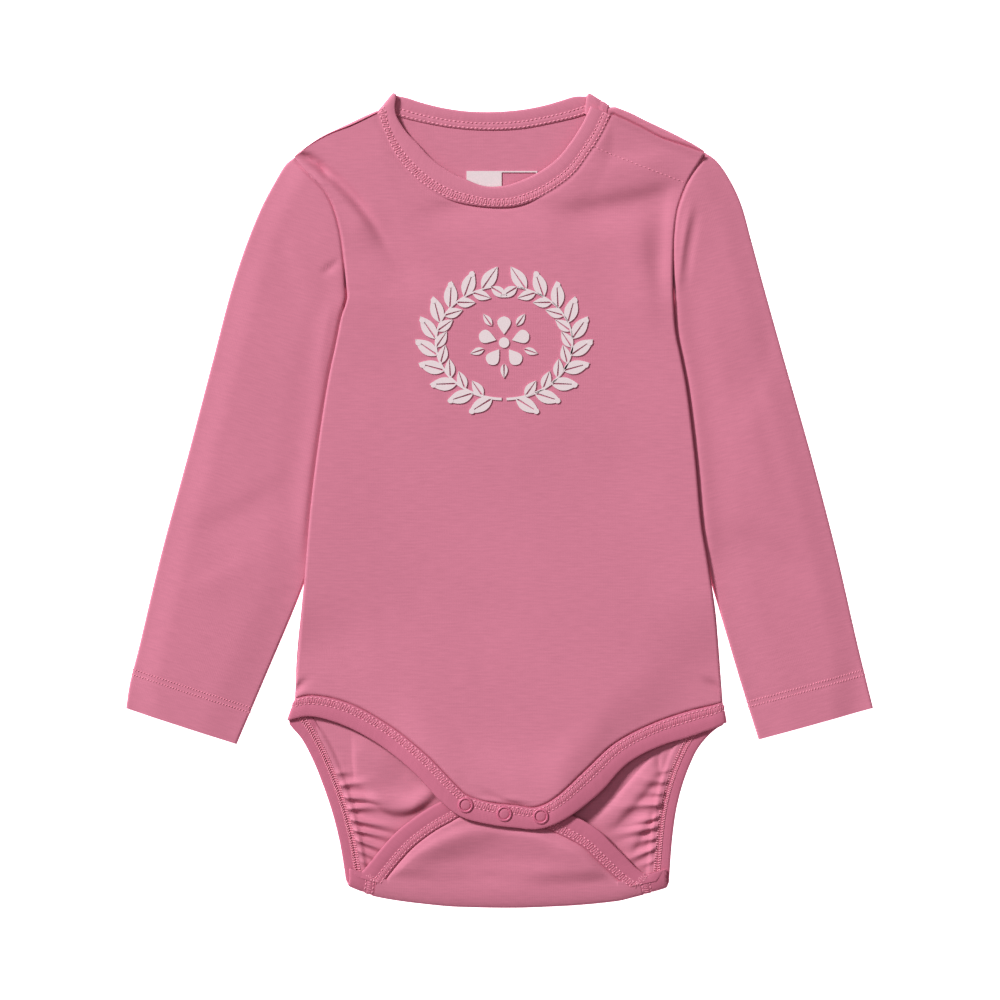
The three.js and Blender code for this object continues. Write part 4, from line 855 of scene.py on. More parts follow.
def sleeve_plan(outer_table, inner_table, body_table, side):
    """A sleeve's upper face in plan, its columns' shares of its width, and that width. Its top
    is drawn along the body's side, and it straightens towards the cuff."""
    v = spread(PANEL_LENGTH, ROW_STEP)
    outer, inner = (
        columns_at(v, np.linspace(0, 1, len(line)), line)
        for line in (curve(outer_table, SLEEVE_POINTS), curve(inner_table, SLEEVE_POINTS))
    )
    width = np.linalg.norm(outer - inner, axis=1)[:, None]
    first = SLEEVE_ROLL_IN / width
    middle = mix(first[:, -1:], 1 - first[:, -1:], np.linspace(0, 1, SLEEVE_COLUMNS)[None, 1:-1])
    share = np.hstack([first, middle, 1 - first[:, ::-1]])

    armpit = next(x for y, x in body_table if y < 113)
    arm = [outer_table[0], *[(x, y) for y, x in body_table if 111 < y < 185]]
    arm += [(armpit - side * ARMPIT_CORNER[0], ARMPIT_CORNER[1]), inner_table[0]]
    arm = curve(arm, ARM_POINTS)
    along = unit(np.gradient(arm, axis=0))
    arm += np.stack([-along[:, 1], along[:, 0]], 1) * side * ARMHOLE_GAP
    bend = columns_at(share, np.linspace(0, 1, len(arm)), arm)
    chord = mix(outer[0], inner[0], share[..., None])
    plan = mix(outer[:, None], inner[:, None], share[..., None])
    return plan + (bend - chord) * ((1 - v) ** 2)[:, None, None], share, width


def sleeve(name, outer_table, inner_table, body_table, body_edge, side):
    plan, share, width = sleeve_plan(outer_table, inner_table, body_table, side)
    x, y = plan[..., 0], plan[..., 1]
    from_edge = np.minimum(share, 1 - share) * width
    round_up = rounded(from_edge, SLEEVE_EDGE_ROLL)
    from_outer = np.abs(profile([(y, x) for x, y in outer_table[:-1]])(y) - x)
    beside_body = np.maximum(side * (x - body_edge(y)), 0)
    from_seam = np.where(y > SLEEVE_FREE_BELOW, beside_body, (1 - share) * width)
    rise = mix(sleeve_seam(y), SLEEVE_MIDDLE_HEIGHT, smooth(0, SLEEVE_SEAM_BLEND, from_seam))
    bulge = SLEEVE_BULGE * smooth(*BULGE_END, y) * (1 - smooth(*BULGE_TOP, y))
    rise += bulge * from_seam / BULGE_AT * np.exp(1 - from_seam / BULGE_AT)
    lowest = 2 * SLEEVE_EDGE_ROLL
    z = mix(lowest, rise, smooth(0, SLEEVE_FOLD_BLEND, from_outer))
    within = smooth(0, SLEEVE_FOLDS_MARGIN, from_seam) * smooth(0, SLEEVE_FOLDS_MARGIN, from_outer)
    z = np.maximum(z + fold_height(SLEEVE_FOLDS, x, y) * within, lowest)
    under = fold_height(UNDER_FOLDS, x, y) * smooth(2, 10, from_edge)
    top = np.stack([x, y, mix(SLEEVE_EDGE_ROLL, z, round_up)], 2)
    bottom = np.stack([x, y, mix(SLEEVE_EDGE_ROLL, under, round_up)], 2)[:, 1:-1][:, ::-1]

    # The cloth turns down into the armhole seam, and its hem is drawn in by two rows.
    seam_y = np.linspace(190, 106, 170)
    seam_line = np.stack([body_edge(seam_y), seam_y], 1)
    cuff_start, cuff_end = plan[-1, 0], plan[-1, -1]
    cuff = unit(cuff_end - cuff_start)
    from_cuff = np.abs((x - cuff_start[0]) * cuff[1] - (y - cuff_start[1]) * cuff[0])
    dip = along_lines(x, y, [(seam_line, -0.8, 0.8)])
    for row in CUFF_ROWS:
        dip -= HEM_DIP * np.exp(-(((from_cuff - row) / HEM_HALF) ** 2))
    dip *= smooth(0.3, 2.0, from_edge)
    under_dip = along_lines(bottom[..., 0], bottom[..., 1], [(seam_line, 0.9, 1.0)])
    grid = np.concatenate([top, bottom], 1)
    lift_by = np.concatenate([dip, under_dip], 1)
    distance = np.concatenate([from_cuff, from_cuff[:, 1:-1][:, ::-1]], 1)
    if side > 0:
        order = [0, *range(grid.shape[1] - 1, 0, -1)]
        grid, lift_by, distance = grid[:, order], lift_by[:, order], distance[:, order]
    axis = unit(plan[-1, 0] + plan[-1, -1] - plan[0, 0] - plan[0, -1])
    uv = np.stack([grid[..., 0] * -axis[1] + grid[..., 1] * axis[0], grid[..., :2] @ axis], 2)
    piece = shell(name, grid, JERSEY, jersey, uv, closed=True, rise=lift_by)
    surface, out = grid + lift_by[..., None] * UP, normals(grid, True)
    return piece, [hem_line(surface, out, distance, row) for row in CUFF_ROWS]


# Bands of the neck and legs

# The ways that the neckband and the bindings face as they turn over at their corners
NECK_LEFT, NECK_RIGHT = np.array([-0.75, 0.66, 0.0]), np.array([0.52, 0.85, 0.0])
HIP_LEFT, HIP_RIGHT = np.array([-0.94, -0.33, 0.0]), np.array([0.98, -0.18, 0.0])
HIP_RISE = 0.35


def neckband():
    front = [side[1:][::-1] for side in band_pairs(NECK_FRONT, 14)]
    back = [side[1:-1] for side in band_pairs(NECK_BACK, 14)]
    first, last = NECK_BACK[0], NECK_BACK[-1]
    left = turned((first[:2], first[2:]), NECK_LEFT, NECK_ROLL_LEFT, 90, -90, 6)
    left[:2, 3:5] += (-0.8, -0.9)
    right = turned((last[:2], last[2:]), NECK_RIGHT, NECK_ROLL_RIGHT, -90, 90, 6)
    tuck = right[-1].copy()
    tuck[:6] += np.tile([-1.5, -10, 0], 2)
    path = np.vstack([
        sections(front, front_top(front[1][:, 0]) + BAND_PROUD, UP),
        left,
        sections(back, 0.0, -UP),
        right,
        tuck,
    ])
    return band("neckband_cloth", path, neck_jersey)


def pair_at(pairs, i):
    return pairs[0][i], pairs[1][i]


def front_leg_binding():
    pairs = band_pairs(FRONT_BINDING, 90)
    inner = [side[2:-2] for side in pairs]
    raised = HIP_RISE * np.array([0, 0, 1, 0, 0, 1, 0, 0, 0])
    path = np.vstack([
        turned(pair_at(pairs, 0), HIP_LEFT, SIDE_ROLL, 2, 68, 3) + raised,
        sections(inner, binding_height(inner[1][:, 0]) + BAND_PROUD, UP),
        turned(pair_at(pairs, -1), HIP_RIGHT, SIDE_ROLL, 68, 2, 3) + raised,
    ])
    return band("front_leg_binding_cloth", path, band_jersey)


def round_bottom(below, above):
    """A binding's sections round the bottom fold, from the back's corner to the tail's."""
    angle = np.radians(np.arange(0, 181, 30))
    inward, up = tail_turn(angle)
    made = []
    for low, high in zip(below, above):
        x = mix(low[0], high[0], angle / math.pi)
        made.append(np.stack([x, bottom_fold(x) + inward, up], 1))
    slope = (bottom_fold(below[1][0] + 1) - bottom_fold(below[1][0] - 1)) / 2
    out = np.array([slope, -1, 0]) / math.hypot(slope, 1)
    normal = np.sin(angle)[:, None] * out - np.cos(angle)[:, None] * UP
    return np.hstack([*made, normal])


def back_leg_binding():
    right, left = band_pairs(BACK_BINDING_RIGHT, 40), band_pairs(BACK_BINDING_LEFT, 40)
    tail = band_pairs(TAIL_BINDING, 70)
    inner = [side[2:-2] for side in tail]
    path = np.vstack([
        turned(pair_at(right, 0), HIP_RIGHT, SIDE_ROLL, 4, -70, 3),
        sections([side[1:-1] for side in right], 0.0, -UP),
        round_bottom(pair_at(right, -1), pair_at(tail, -1)),
        sections(inner, tail_height(inner[1][:, 0], inner[1][:, 1]) + BAND_PROUD, UP)[::-1],
        round_bottom(pair_at(left, -1), pair_at(tail, 0))[::-1],
        sections([side[1:-1] for side in left], 0.0, -UP)[::-1],
        turned(pair_at(left, 0), HIP_LEFT, SIDE_ROLL, -70, 4, 3),
    ])
    return band("back_leg_binding_cloth", path, band_jersey)


# Snaps

# Name, x, y
SNAPS = [("left", -18.6, -167.0), ("middle", 2.6, -171.8), ("right", 22.6, -173.2)]
# Closed outlines of what is turned: radius, height
RING = [
    (2.95, -0.25), (4.2, -0.25), (4.3, 0.1), (4.22, 0.42), (3.95, 0.66), (3.6, 0.74),
    (3.25, 0.66), (3, 0.42), (2.93, 0.1),
]
DOME = [(0, -0.3), (2.85, -0.3), (2.85, 0.02), (2.6, 0.22), (2.1, 0.36), (1.3, 0.44), (0, 0.46)]
STUD = [
    (0, 0), (3.5, 0), (3.6, 0.12), (3.6, 0.4), (2.9, 0.55), (2.9, 0.7), (3.6, 0.85),
    (3.6, 1.1), (3.5, 1.2), (0, 1.2),
]
STUD_GAP = 0.1


def turned_solid(name, outline, centre, material, sides=48):
    """A solid from a closed outline of radii and heights. Radius 0 may start and end it."""
    angle = np.linspace(0, 2 * math.pi, sides, endpoint=False)
    vertices, rings = [], []
    for r, z in outline:
        if r == 0:
            rings.append([len(vertices)] * sides)
            vertices.append((0, 0, z))
            continue
        rings.append(list(range(len(vertices), len(vertices) + sides)))
        vertices += [(r * math.cos(a), r * math.sin(a), z) for a in angle]
    solid = outline[0][0] == 0
    pairs = zip(rings, rings[1:] if solid else rings[1:] + rings[:1])
    faces = []
    for low, high in pairs:
        for i in range(sides):
            j = (i + 1) % sides
            corners = [low[i], low[j], high[j], high[i]]
            faces.append(list(dict.fromkeys(corners)))
    vertices = np.array(vertices, float) + centre
    return make(name, vertices, faces, vertices[:, :2], material)


def snap(name, x, y):
    top = float(binding_height(x)) + BAND_PROUD
    under = 2 * TAIL_ROLL + TAIL_RISE + BAND_PROUD + STUD_GAP
    ring = turned_solid(f"snap_ring_{name}_enamel", RING, (x, y, top), enamel)
    dome = turned_solid(f"snap_dome_{name}", DOME, (x, y, top), band_jersey)
    stud = turned_solid(f"snap_stud_{name}_enamel", STUD, (x, y, under), enamel)
    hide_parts(f"snap_ring_{name}")
    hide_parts(f"snap_stud_{name}")


# Sewing

# Kinds of stitch: pitch along a row, length, size across the row, and the thread's radius
NECK_STITCH = (2.36, 1.55, 0.0, 0.34)
NECK_INNER_STITCH = (2.36, 1.6, 0.0, 0.34)
LEG_STITCH = (2.4, 1.5, 0.0, 0.28)
CUFF_STITCH = (1.6, 0.5, 1.15, 0.21)
SHOULDER_STITCH = (2.5, 1.5, 0.0, 0.2)
NECK_ZIGZAG = (1.25, 0.5, 2.7, 0.15)
LEG_ZIGZAG = (1.25, 0.5, 2.7, 0.13)
# The looped row on a band's inner face
LADDER_PITCH, LADDER_THREAD = 1.35, 0.24
LADDER_MIDDLE, LADDER_HALF = 0.6, 1.5
RUNG_LENGTH, RAIL_LENGTH = 0.9, 1.1
LADDER_PROUD, ZIGZAG_PROUD = 0.08, 0.04
# How uneven the stitches are, as shares of their pitch and length
UNEVEN_PITCH, UNEVEN_LENGTH = 0.03, 0.05
# Depth of a band's grooves, as a share of its thickness
GROOVE = 0.13
# The row that holds the right shoulder's lap beside the neckband: x, y
SHOULDER_STITCHES = [(46.5, 197.2), (55.3, 192.5), (66.3, 188.1), (82.8, 181.5), (102.0, 174.6)]
# An arched thread: its sides, and the share, rise and thickness of it at each of its rings
THREAD_SIDES = 6
THREAD_STATIONS = np.array([0, 0.14, 0.5, 0.86, 1.0])
THREAD_RISE = np.array([-0.9, 0.3, 0.7, 0.3, -0.9])
THREAD_THICK = np.array([0.55, 0.95, 1.0, 0.95, 0.55])
rng = np.random.default_rng(11)


def places_along(line, pitch, length):
    """Both ends of each stitch along a line of points and normals, a little uneven."""
    along = lengths(line[:, :3])
    count = int(along[-1] / pitch)
    middle = (np.arange(count) + 0.5) * along[-1] / count
    middle += rng.normal(0, UNEVEN_PITCH * pitch, count)
    half = length / 2 * (1 + rng.normal(0, UNEVEN_LENGTH, count))
    return columns_at(middle - half, along, line), columns_at(middle + half, along, line)


def row(line, pitch, length, slant=0.0, sideways=(0.0, 0.0)):
    """Starts, ends and normals of a row of stitches. slant is their size across the row, and
    sideways moves their starts and their ends across it."""
    first, last = places_along(line, pitch, length)
    up = unit(first[:, 3:] + last[:, 3:])
    side = unit(np.cross(up, last[:, :3] - first[:, :3]))
    start = first[:, :3] + side * (sideways[0] - slant / 2)
    end = last[:, :3] + side * (sideways[1] + slant / 2)
    return np.hstack([start, end, up])


def threads(name, rows, radius):
    """A joined mesh of short arched threads, their ends sunk in the cloth."""
    rows = np.vstack(rows)
    start, end, up = rows[:, None, :3], rows[:, None, 3:6], rows[:, None, 6:]
    side = unit(np.cross(up, end - start))
    centre = mix(start, end, THREAD_STATIONS[:, None]) + up * (radius * THREAD_RISE)[:, None]
    angle = np.linspace(0, 2 * math.pi, THREAD_SIDES, endpoint=False)[:, None]
    ring = np.cos(angle) * side[:, :, None] + np.sin(angle) * up[:, :, None]
    vertices = centre[:, :, None] + ring * (radius * THREAD_THICK)[:, None, None]
    count, stations = len(rows), len(THREAD_STATIONS)
    at = np.arange(count * stations * THREAD_SIDES).reshape(count, stations, THREAD_SIDES)
    after = np.roll(at, -1, 2)
    sides = np.stack([at[:, :-1], after[:, :-1], after[:, 1:], at[:, 1:]], 3).reshape(-1, 4)
    faces = sides.tolist() + at[:, 0, ::-1].tolist() + at[:, -1].tolist()
    return make(name, vertices.reshape(-1, 3), faces, None, thread, sharp=180)


def rows_of(kind, lines):
    """A row of one kind of stitch along each line."""
    pitch, length, slant, _ = kind
    return [row(line, pitch, length, slant) for line in lines]


def sew(name, kind, lines):
    """Rows of one kind of stitch along lines, as one piece."""
    return threads(name, rows_of(kind, lines), kind[-1])


def on_band(path, across, inner=False):
    """A line along a band's outer or inner face, in its groove, with the way that it faces."""
    up, facing = (GROOVE, -path[:, 6:]) if inner else (1 - GROOVE, path[:, 6:])
    return np.hstack([place_on(path, across, up), facing])


def both_rows(path, inner=False):
    return [on_band(path, across, inner) for across in ROWS]


def ladder(path):
    """The looped inner side of the stitching: two slanted threads meet along its middle."""
    line = on_band(path, LADDER_MIDDLE, inner=True)
    line[:, :3] += line[:, 3:] * (GROOVE * BAND + LADDER_PROUD)
    out = unit(np.cross(line[:, 3:], np.gradient(line[:, :3], axis=0)))
    rows = []
    for side in (-1, 1):
        rows.append(row(line, LADDER_PITCH, RUNG_LENGTH, 0, (side * LADDER_HALF, side * 0.1)))
        edge = line.copy()
        edge[:, :3] += out * side * LADDER_HALF
        rows.append(row(edge, LADDER_PITCH, RAIL_LENGTH))
    return rows


def zigzag(name, path, kind):
    """Fine slanted threads between the two rows on a band's outer face."""
    line = on_band(path, BETWEEN_ROWS)
    line[:, :3] += line[:, 3:] * (GROOVE * BAND + ZIGZAG_PROUD)
    return sew(name, kind, [line])


def neck_stitches():
    path = neck_path[:-10]
    back = path[path[:, 8] < -0.5]
    rows = rows_of(NECK_STITCH, both_rows(path))
    rows += rows_of(NECK_INNER_STITCH, both_rows(back, inner=True))
    return threads("neck_stitches", rows, NECK_STITCH[-1])


def back_leg_ladders():
    below = np.flatnonzero(back_leg_path[:, 8] < -0.9)
    middle = below[np.argmax(np.diff(below))]
    first, second = below[below <= middle], below[below > middle]
    rows = [*ladder(back_leg_path[first[3:-2]]), *ladder(back_leg_path[second[2:-3]])]
    return threads("back_leg_ladders", rows, LADDER_THREAD)


def shoulder_stitches():
    line = resample(np.array(SHOULDER_STITCHES), 60)
    x, y = line[:, 0], line[:, 1]
    z = np.where(y > front_upper(x), front_top(x) + BAND_PROUD, front_height(x, y))
    facing = np.broadcast_to(UP, (len(line), 3))
    return sew("shoulder_stitches", SHOULDER_STITCH, [np.hstack([line, z[:, None], facing])])


# Print

# A leaf wreath round a small flower, as a thin film on the front
FILM = 0.14
FILM_SUNK = 0.3
FILM_STEP = 0.02
PRINT_CENTRE = np.array([2.5, 86.4])
WREATH = np.array([37.5, 31.0])
OUTER_LEAF, INNER_LEAF = (15.0, 7.4), (10.5, 5.6)
LEAF_TURN = 40.0
LEAF_SLIT = 0.9
STEM = 1.5
BERRY = 1.6
BERRY_OUT = 9.6
# Where the first of each is along the wreath's sides, and from one to the next, in degrees
LEAVES, LEAF_PITCH = 10, 16.8
OUTER_START, INNER_START, BERRY_START = 10, 18, 6
PETALS = 5
PETAL_START, PETAL_END, PETAL_WIDTH = 4.6, 14.5, 9.4
SEPAL_START, SEPAL = 11.5, (8.0, 4.0)
FLOWER_MIDDLE = 2.9
FILM_LEVELS = 5


def film_part(left, right, height, step):
    """A thin closed film between two lines, laid on a surface a number of steps up."""
    share = np.linspace(0, 1, 4)[None, :, None]
    plan = mix(left[:, None], right[:, None], share)
    z = height(plan[..., 0], plan[..., 1]) + FILM + step * FILM_STEP
    return wall(np.concatenate([plan, z[..., None]], 2), FILM + FILM_SUNK)


def film(name, shapes, height, levels):
    """A print of several shapes on a surface, laid in turn on one of some levels."""
    parts = [
        film_part(left, right, height, i % levels) for i, (left, right) in enumerate(shapes)
    ]
    start, faces = 0, []
    for vertices, part_faces in parts:
        faces += (part_faces + start).tolist()
        start += len(vertices)
    vertices = np.vstack([vertices for vertices, _ in parts])
    return make(name, vertices, faces, vertices[:, :2], ink)


def beside_line(points, half):
    """Two lines, half a width to each side of a line."""
    ahead = unit(np.gradient(points, axis=0))
    side = np.stack([-ahead[:, 1], ahead[:, 0]], 1)
    half = np.asarray(half)[..., None]
    return points + side * half, points - side * half


def disc(centre, radius):
    t = np.linspace(0, math.pi, 15)
    points = centre + radius * np.stack([np.zeros(15), -np.cos(t)], 1)
    return beside_line(points, np.maximum(radius * np.sin(t), 0.06))


def leaf(base, direction, length, width):
    """Two halves with a slit between them along the midrib."""
    t = np.linspace(0, 1, 15)
    along = unit(np.asarray(direction, float))
    side = np.array([-along[1], along[0]])
    half = width / 2 * np.sin(math.pi * t**0.85) ** 0.9
    slit = LEAF_SLIT / 2 * (1 - t) ** 0.5
    middle = base + along * (t * length)[:, None]
    halves = []
    for sign in (1, -1):
        near = middle + sign * side * np.minimum(slit, np.maximum(half - 0.1, 0) + 0.02)[:, None]
        far = middle + sign * side * np.maximum(half, 0.1)[:, None]
        halves.append((far, near) if sign > 0 else (near, far))
    return halves


def wreath_place(degrees, sign):
    angle = math.radians(degrees)
    place = PRINT_CENTRE + WREATH * (sign * math.sin(angle), -math.cos(angle))
    ahead = WREATH * (sign * math.cos(angle), math.sin(angle))
    return place, unit(ahead)


def turn(v, degrees):
    c, s = math.cos(math.radians(degrees)), math.sin(math.radians(degrees))
    return np.array([v[0] * c - v[1] * s, v[0] * s + v[1] * c])


def wreath_print():
    shapes = []
    for sign in (-1, 1):
        stem = np.array([wreath_place(d, sign)[0] for d in np.linspace(2, 169, 90)])
        shapes.append(beside_line(stem, np.linspace(STEM / 2, STEM / 4, 90)))
        for k in range(LEAVES):
            place, ahead = wreath_place(OUTER_START + LEAF_PITCH * k, sign)
            shapes += leaf(place, turn(ahead, -sign * LEAF_TURN), *OUTER_LEAF)
            place, ahead = wreath_place(INNER_START + LEAF_PITCH * k, sign)
            shapes += leaf(place, turn(ahead, sign * LEAF_TURN), *INNER_LEAF)
            if k > 0:
                place, ahead = wreath_place(BERRY_START + LEAF_PITCH * k, sign)
                shapes.append(disc(place + turn(ahead, -sign * 90) * BERRY_OUT, BERRY))
    shapes.append(disc(PRINT_CENTRE, FLOWER_MIDDLE))
    t = np.linspace(0, 1, 17)
    for k in range(PETALS):
        out = turn(np.array([0.0, 1.0]), 360 / PETALS * k)
        middle = PRINT_CENTRE + out * mix(PETAL_START, PETAL_END, t)[:, None]
        half = PETAL_WIDTH / 2 * np.sin(math.pi * t**1.25) ** 0.62 * (0.45 + 0.55 * t)
        shapes.append(beside_line(middle, np.maximum(half, 0.08)))
        sepal = turn(out, 180 / PETALS)
        shapes += leaf(PRINT_CENTRE + sepal * SEPAL_START, sepal, *SEPAL)
    return film("wreath_print", shapes, front_height, FILM_LEVELS)


# A blank size mark, as a film inside the neck
LABEL_LEFT, LABEL_MIDDLE, LABEL_RIGHT = -18.2, 1.2, 20.8
LABEL_TOP, LABEL_BOTTOM = 181.3, 162.0
LABEL_LINE = 0.8


def box(x0, y0, x1, y1):
    return [np.stack([np.full(9, x), np.linspace(y0, y1, 9)], 1) for x in (x0, x1)]


def size_mark():
    upper, lower = LABEL_TOP - LABEL_LINE, LABEL_BOTTOM + LABEL_LINE
    shapes = [
        box(LABEL_LEFT, LABEL_BOTTOM, LABEL_MIDDLE, LABEL_TOP),
        box(LABEL_MIDDLE, upper, LABEL_RIGHT, LABEL_TOP),
        box(LABEL_MIDDLE, LABEL_BOTTOM, LABEL_RIGHT, lower),
        box(LABEL_RIGHT - LABEL_LINE, lower, LABEL_RIGHT, upper),
    ]
    return film("size_mark", shapes, lambda x, y: back_folds(x, y) + JERSEY, 1)


# Materials


def new_material(name, roughness, sheen=0.0):
    material = bpy.data.materials.new(name)
    material.use_nodes = True
    shader = material.node_tree.nodes["Principled BSDF"]
    shader.inputs["Roughness"].default_value = roughness
    shader.inputs["Sheen Weight"].default_value = sheen
    shader.inputs["Sheen Roughness"].default_value = 0.45
    return material, material.node_tree, shader


def grain(tree, vector, scale, detail, stretch=None):
    """Noise at a vector, drawn out by a stretch."""
    if stretch:
        mapping = tree.nodes.new("ShaderNodeMapping")
        mapping.inputs["Scale"].default_value = stretch
        tree.links.new(vector, mapping.inputs["Vector"])
        vector = mapping.outputs["Vector"]
    texture = tree.nodes.new("ShaderNodeTexNoise")
    texture.inputs["Scale"].default_value = scale
    texture.inputs["Detail"].default_value = detail
    tree.links.new(vector, texture.inputs["Vector"])
    return texture.outputs["Fac"]


def relief(tree, shader, height, strength, distance):
    """Bump on a shader from a height. distance is in metres."""
    bump = tree.nodes.new("ShaderNodeBump")
    bump.inputs["Strength"].default_value = strength
    bump.inputs["Distance"].default_value = distance
    tree.links.new(height, bump.inputs["Height"])
    tree.links.new(bump.outputs["Normal"], shader.inputs["Normal"])


# The knit's stitches: width of a wale and height of a course, in millimetres
WALE, COURSE = 0.95, 0.8
PER_MM = 1000


def cloth(name, colour, streak=0.05):
    """Knitted jersey: wales and courses as bump, and short heathered streaks along a course."""
    material, tree, shader = new_material(name, 0.88, 0.1)
    shader.inputs["Sheen Tint"].default_value = (1.0, 0.72, 0.8, 1)
    shader.inputs["Specular IOR Level"].default_value = 0.25
    node, link = tree.nodes.new, tree.links.new

    uv = node("ShaderNodeUVMap")
    uv.uv_map = "cloth"

    def noise(stretch, detail):
        return grain(tree, uv.outputs["UV"], PER_MM, detail, stretch)

    def maths(operation, a, b=0.0, c=0.0):
        step = node("ShaderNodeMath")
        step.operation = operation
        for socket, value in zip(step.inputs, (a, b, c)):
            if isinstance(value, (int, float)):
                socket.default_value = value
            else:
                link(value, socket)
        return step.outputs[0]

    # Colour: streaks a course high, a finer fleck and a broad soft drift
    value = 1.0
    for stretch, detail, strength in (
        ((0.11, 1.05, 1), 3.0, 4 * streak),
        ((1.3, 1.3, 1), 1.0, 1.6 * streak),
        ((0.012, 0.012, 1), 1.0, 0.08),
    ):
        off = maths("SUBTRACT", noise(stretch, detail), 0.5)
        value = maths("MULTIPLY_ADD", off, strength, value)
    tint = node("ShaderNodeMix")
    tint.data_type = "RGBA"
    tint.blend_type = "MULTIPLY"
    tint.inputs[0].default_value = 1.0
    tint.inputs[6].default_value = (*colour, 1)
    grey = node("ShaderNodeCombineColor")
    for socket in grey.inputs:
        link(value, socket)
    link(grey.outputs[0], tint.inputs[7])
    link(tint.outputs[2], shader.inputs["Base Color"])

    # Bump: a V for each stitch, softened by fibre
    place = node("ShaderNodeSeparateXYZ")
    link(uv.outputs["UV"], place.inputs[0])
    across = maths("MULTIPLY", place.outputs["X"], PER_MM / WALE)
    along = maths("MULTIPLY", place.outputs["Y"], PER_MM / COURSE)
    half = maths("ABSOLUTE", maths("SUBTRACT", maths("FRACT", across), 0.5))
    leg = maths("COSINE", maths("MULTIPLY", maths("ADD", along, half), 2 * math.pi))
    wale = maths("COSINE", maths("MULTIPLY", across, 2 * math.pi))
    height = maths("MULTIPLY_ADD", leg, 0.3, maths("MULTIPLY", wale, -0.35))
    height = maths("ADD", height, maths("MULTIPLY", noise((2.2, 2.2, 1), 3.0), 1.6))
    relief(tree, shader, height, 0.25, 0.00012)
    return material


def plain(name, colour, roughness, scale, sheen=0.0):
    """A surface with a fine grain in its colour and relief."""
    material, tree, shader = new_material(name, roughness, sheen)
    where = tree.nodes.new("ShaderNodeTexCoord")
    fine = grain(tree, where.outputs["Object"], scale, 3)
    ramp = tree.nodes.new("ShaderNodeValToRGB")
    ramp.color_ramp.elements[0].color = (*[c * 0.9 for c in colour], 1)
    ramp.color_ramp.elements[1].color = (*[min(c * 1.08, 1) for c in colour], 1)
    tree.links.new(fine, ramp.inputs["Fac"])
    tree.links.new(ramp.outputs["Color"], shader.inputs["Base Color"])
    relief(tree, shader, fine, 0.2, 0.0001)
    return material


jersey = cloth("jersey", (0.64, 0.275, 0.362))
neck_jersey = cloth("neck_jersey", (0.64, 0.275, 0.362), streak=0.035)
band_jersey = cloth("band_jersey", (0.585, 0.225, 0.312), streak=0.035)
thread = plain("thread", (0.88, 0.42, 0.52), 0.5, 2500, 0.3)
enamel = plain("snap_enamel", (0.6, 0.2, 0.3), 0.35, 900)
ink = plain("print_film", (0.76, 0.69, 0.70), 0.62, 1400, 0.1)


# The garment

left_sleeve, left_hems = sleeve(
    "left_sleeve_cloth", SLEEVE_OUTER_LEFT, SLEEVE_INNER_LEFT, BODY_LEFT, body_left, -1
)
right_sleeve, right_hems = sleeve(
    "right_sleeve_cloth", SLEEVE_OUTER_RIGHT, SLEEVE_INNER_RIGHT, BODY_RIGHT, body_right, 1
)
front_piece, back_piece = front_panel(), back_panel()
neck_piece, neck_path = neckband()
front_leg_piece, front_leg_path = front_leg_binding()
back_leg_piece, back_leg_path = back_leg_binding()
sheets = {
    "front_panel": (front_piece, "jersey"),
    "back_panel": (back_piece, "jersey"),
    "left_sleeve": (left_sleeve, "jersey"),
    "right_sleeve": (right_sleeve, "jersey"),
    "neckband": (neck_piece, "band_jersey"),
    "front_leg_binding": (front_leg_piece, "band_jersey"),
    "back_leg_binding": (back_leg_piece, "band_jersey"),
}
for node_name, (piece, slot_name) in sheets.items():
    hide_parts(node_name)
for snap_name, snap_x, snap_y in SNAPS:
    snap(snap_name, snap_x, snap_y)
print_piece, mark_piece = wreath_print(), size_mark()

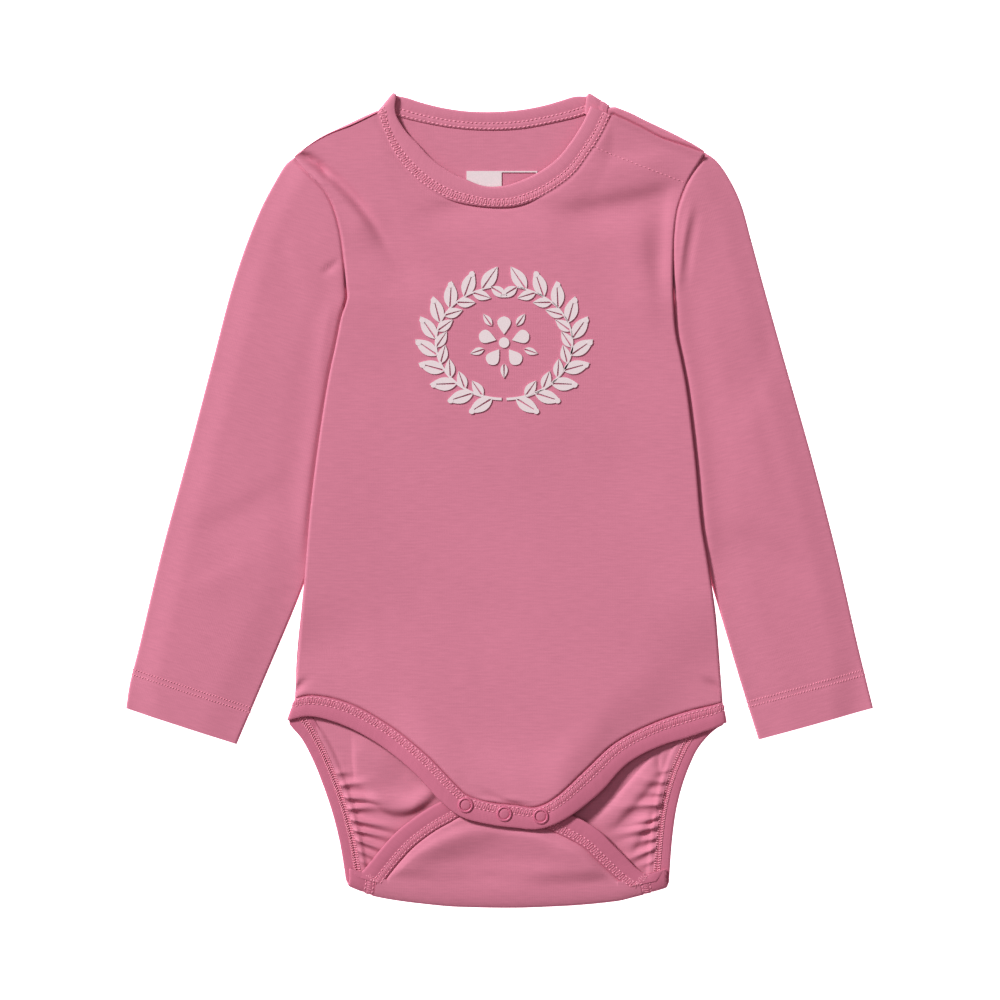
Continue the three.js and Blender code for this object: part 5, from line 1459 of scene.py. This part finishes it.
# The stitches are uneven by seeded random draws, so they are always made in this order.
sewing = {
    "neckband": [neck_stitches()],
    "front_leg_binding": [sew("front_leg_stitches", LEG_STITCH, both_rows(front_leg_path))],
    "back_leg_binding": [
        sew("back_leg_stitches", LEG_STITCH, both_rows(back_leg_path)), back_leg_ladders(),
    ],
    "left_sleeve": [sew("left_cuff_stitches", CUFF_STITCH, left_hems)],
    "right_sleeve": [sew("right_cuff_stitches", CUFF_STITCH, right_hems)],
    "front_panel": [shoulder_stitches(), print_piece],
    "back_panel": [mark_piece],
}
neck_front = neck_path[: np.argmax(neck_path[:, 8] < 0.5)]
for node_name, zigzag_name, path, kind in (
    ("neckband", "neck_zigzag", neck_front, NECK_ZIGZAG),
    ("front_leg_binding", "front_leg_zigzag", front_leg_path, LEG_ZIGZAG),
    ("back_leg_binding", "back_leg_zigzag", back_leg_path, LEG_ZIGZAG),
):
    sewing[node_name].append(zigzag(zigzag_name, path, kind))


# Floor, light and camera

FLOOR_DROP, FLOOR_HALF = 0.0005, 60.0
LENS, SENSOR = 85.0, 36.0
VIEW_WIDTH = 0.55
VIEW_CENTRE = (0.000275, 0.0)
VIEW_PLANE = 0.004


def floor():
    mesh = bpy.data.meshes.new("floor")
    corners = np.array([(-1, -1), (1, -1), (1, 1), (-1, 1)]) * FLOOR_HALF
    mesh.from_pydata([(x, y, -FLOOR_DROP) for x, y in corners.tolist()], [], [(0, 1, 2, 3)])
    material, _, shader = new_material("floor", 0.9)
    shader.inputs["Base Color"].default_value = (0.95, 0.95, 0.95, 1)
    shader.inputs["Emission Color"].default_value = (1, 1, 1, 1)
    shader.inputs["Emission Strength"].default_value = 0.8
    mesh.materials.append(material)
    add("floor", mesh)


def area_light(name, place, size, power):
    data = bpy.data.lights.new(name, "AREA")
    data.shape = "DISK"
    data.size = size
    data.energy = power
    light = add(name, data)
    light.location = place
    light.rotation_euler = (-Vector(place)).to_track_quat("-Z", "Y").to_euler()


def camera():
    data = bpy.data.cameras.new("camera")
    data.lens, data.sensor_width = LENS, SENSOR
    data.clip_start, data.clip_end = 0.05, 50
    piece = add("camera", data)
    piece.location = (*VIEW_CENTRE, VIEW_PLANE + VIEW_WIDTH * LENS / SENSOR)
    bpy.context.scene.camera = piece


floor()
area_light("key", (-8.4, 7.6, 8.0), 2.7, 1510.0)
area_light("top", (-0.05, 0.02, 1.15), 0.9, 2.0)
camera()
world = bpy.data.worlds.new("studio")
world.use_nodes = True
background = world.node_tree.nodes["Background"]
background.inputs["Color"].default_value = (1, 0.74, 0.81, 1)
background.inputs["Strength"].default_value = 0.15
bpy.context.scene.world = world
bpy.context.scene.view_settings.view_transform = "Standard"
bpy.context.scene.view_settings.look = "High Contrast"
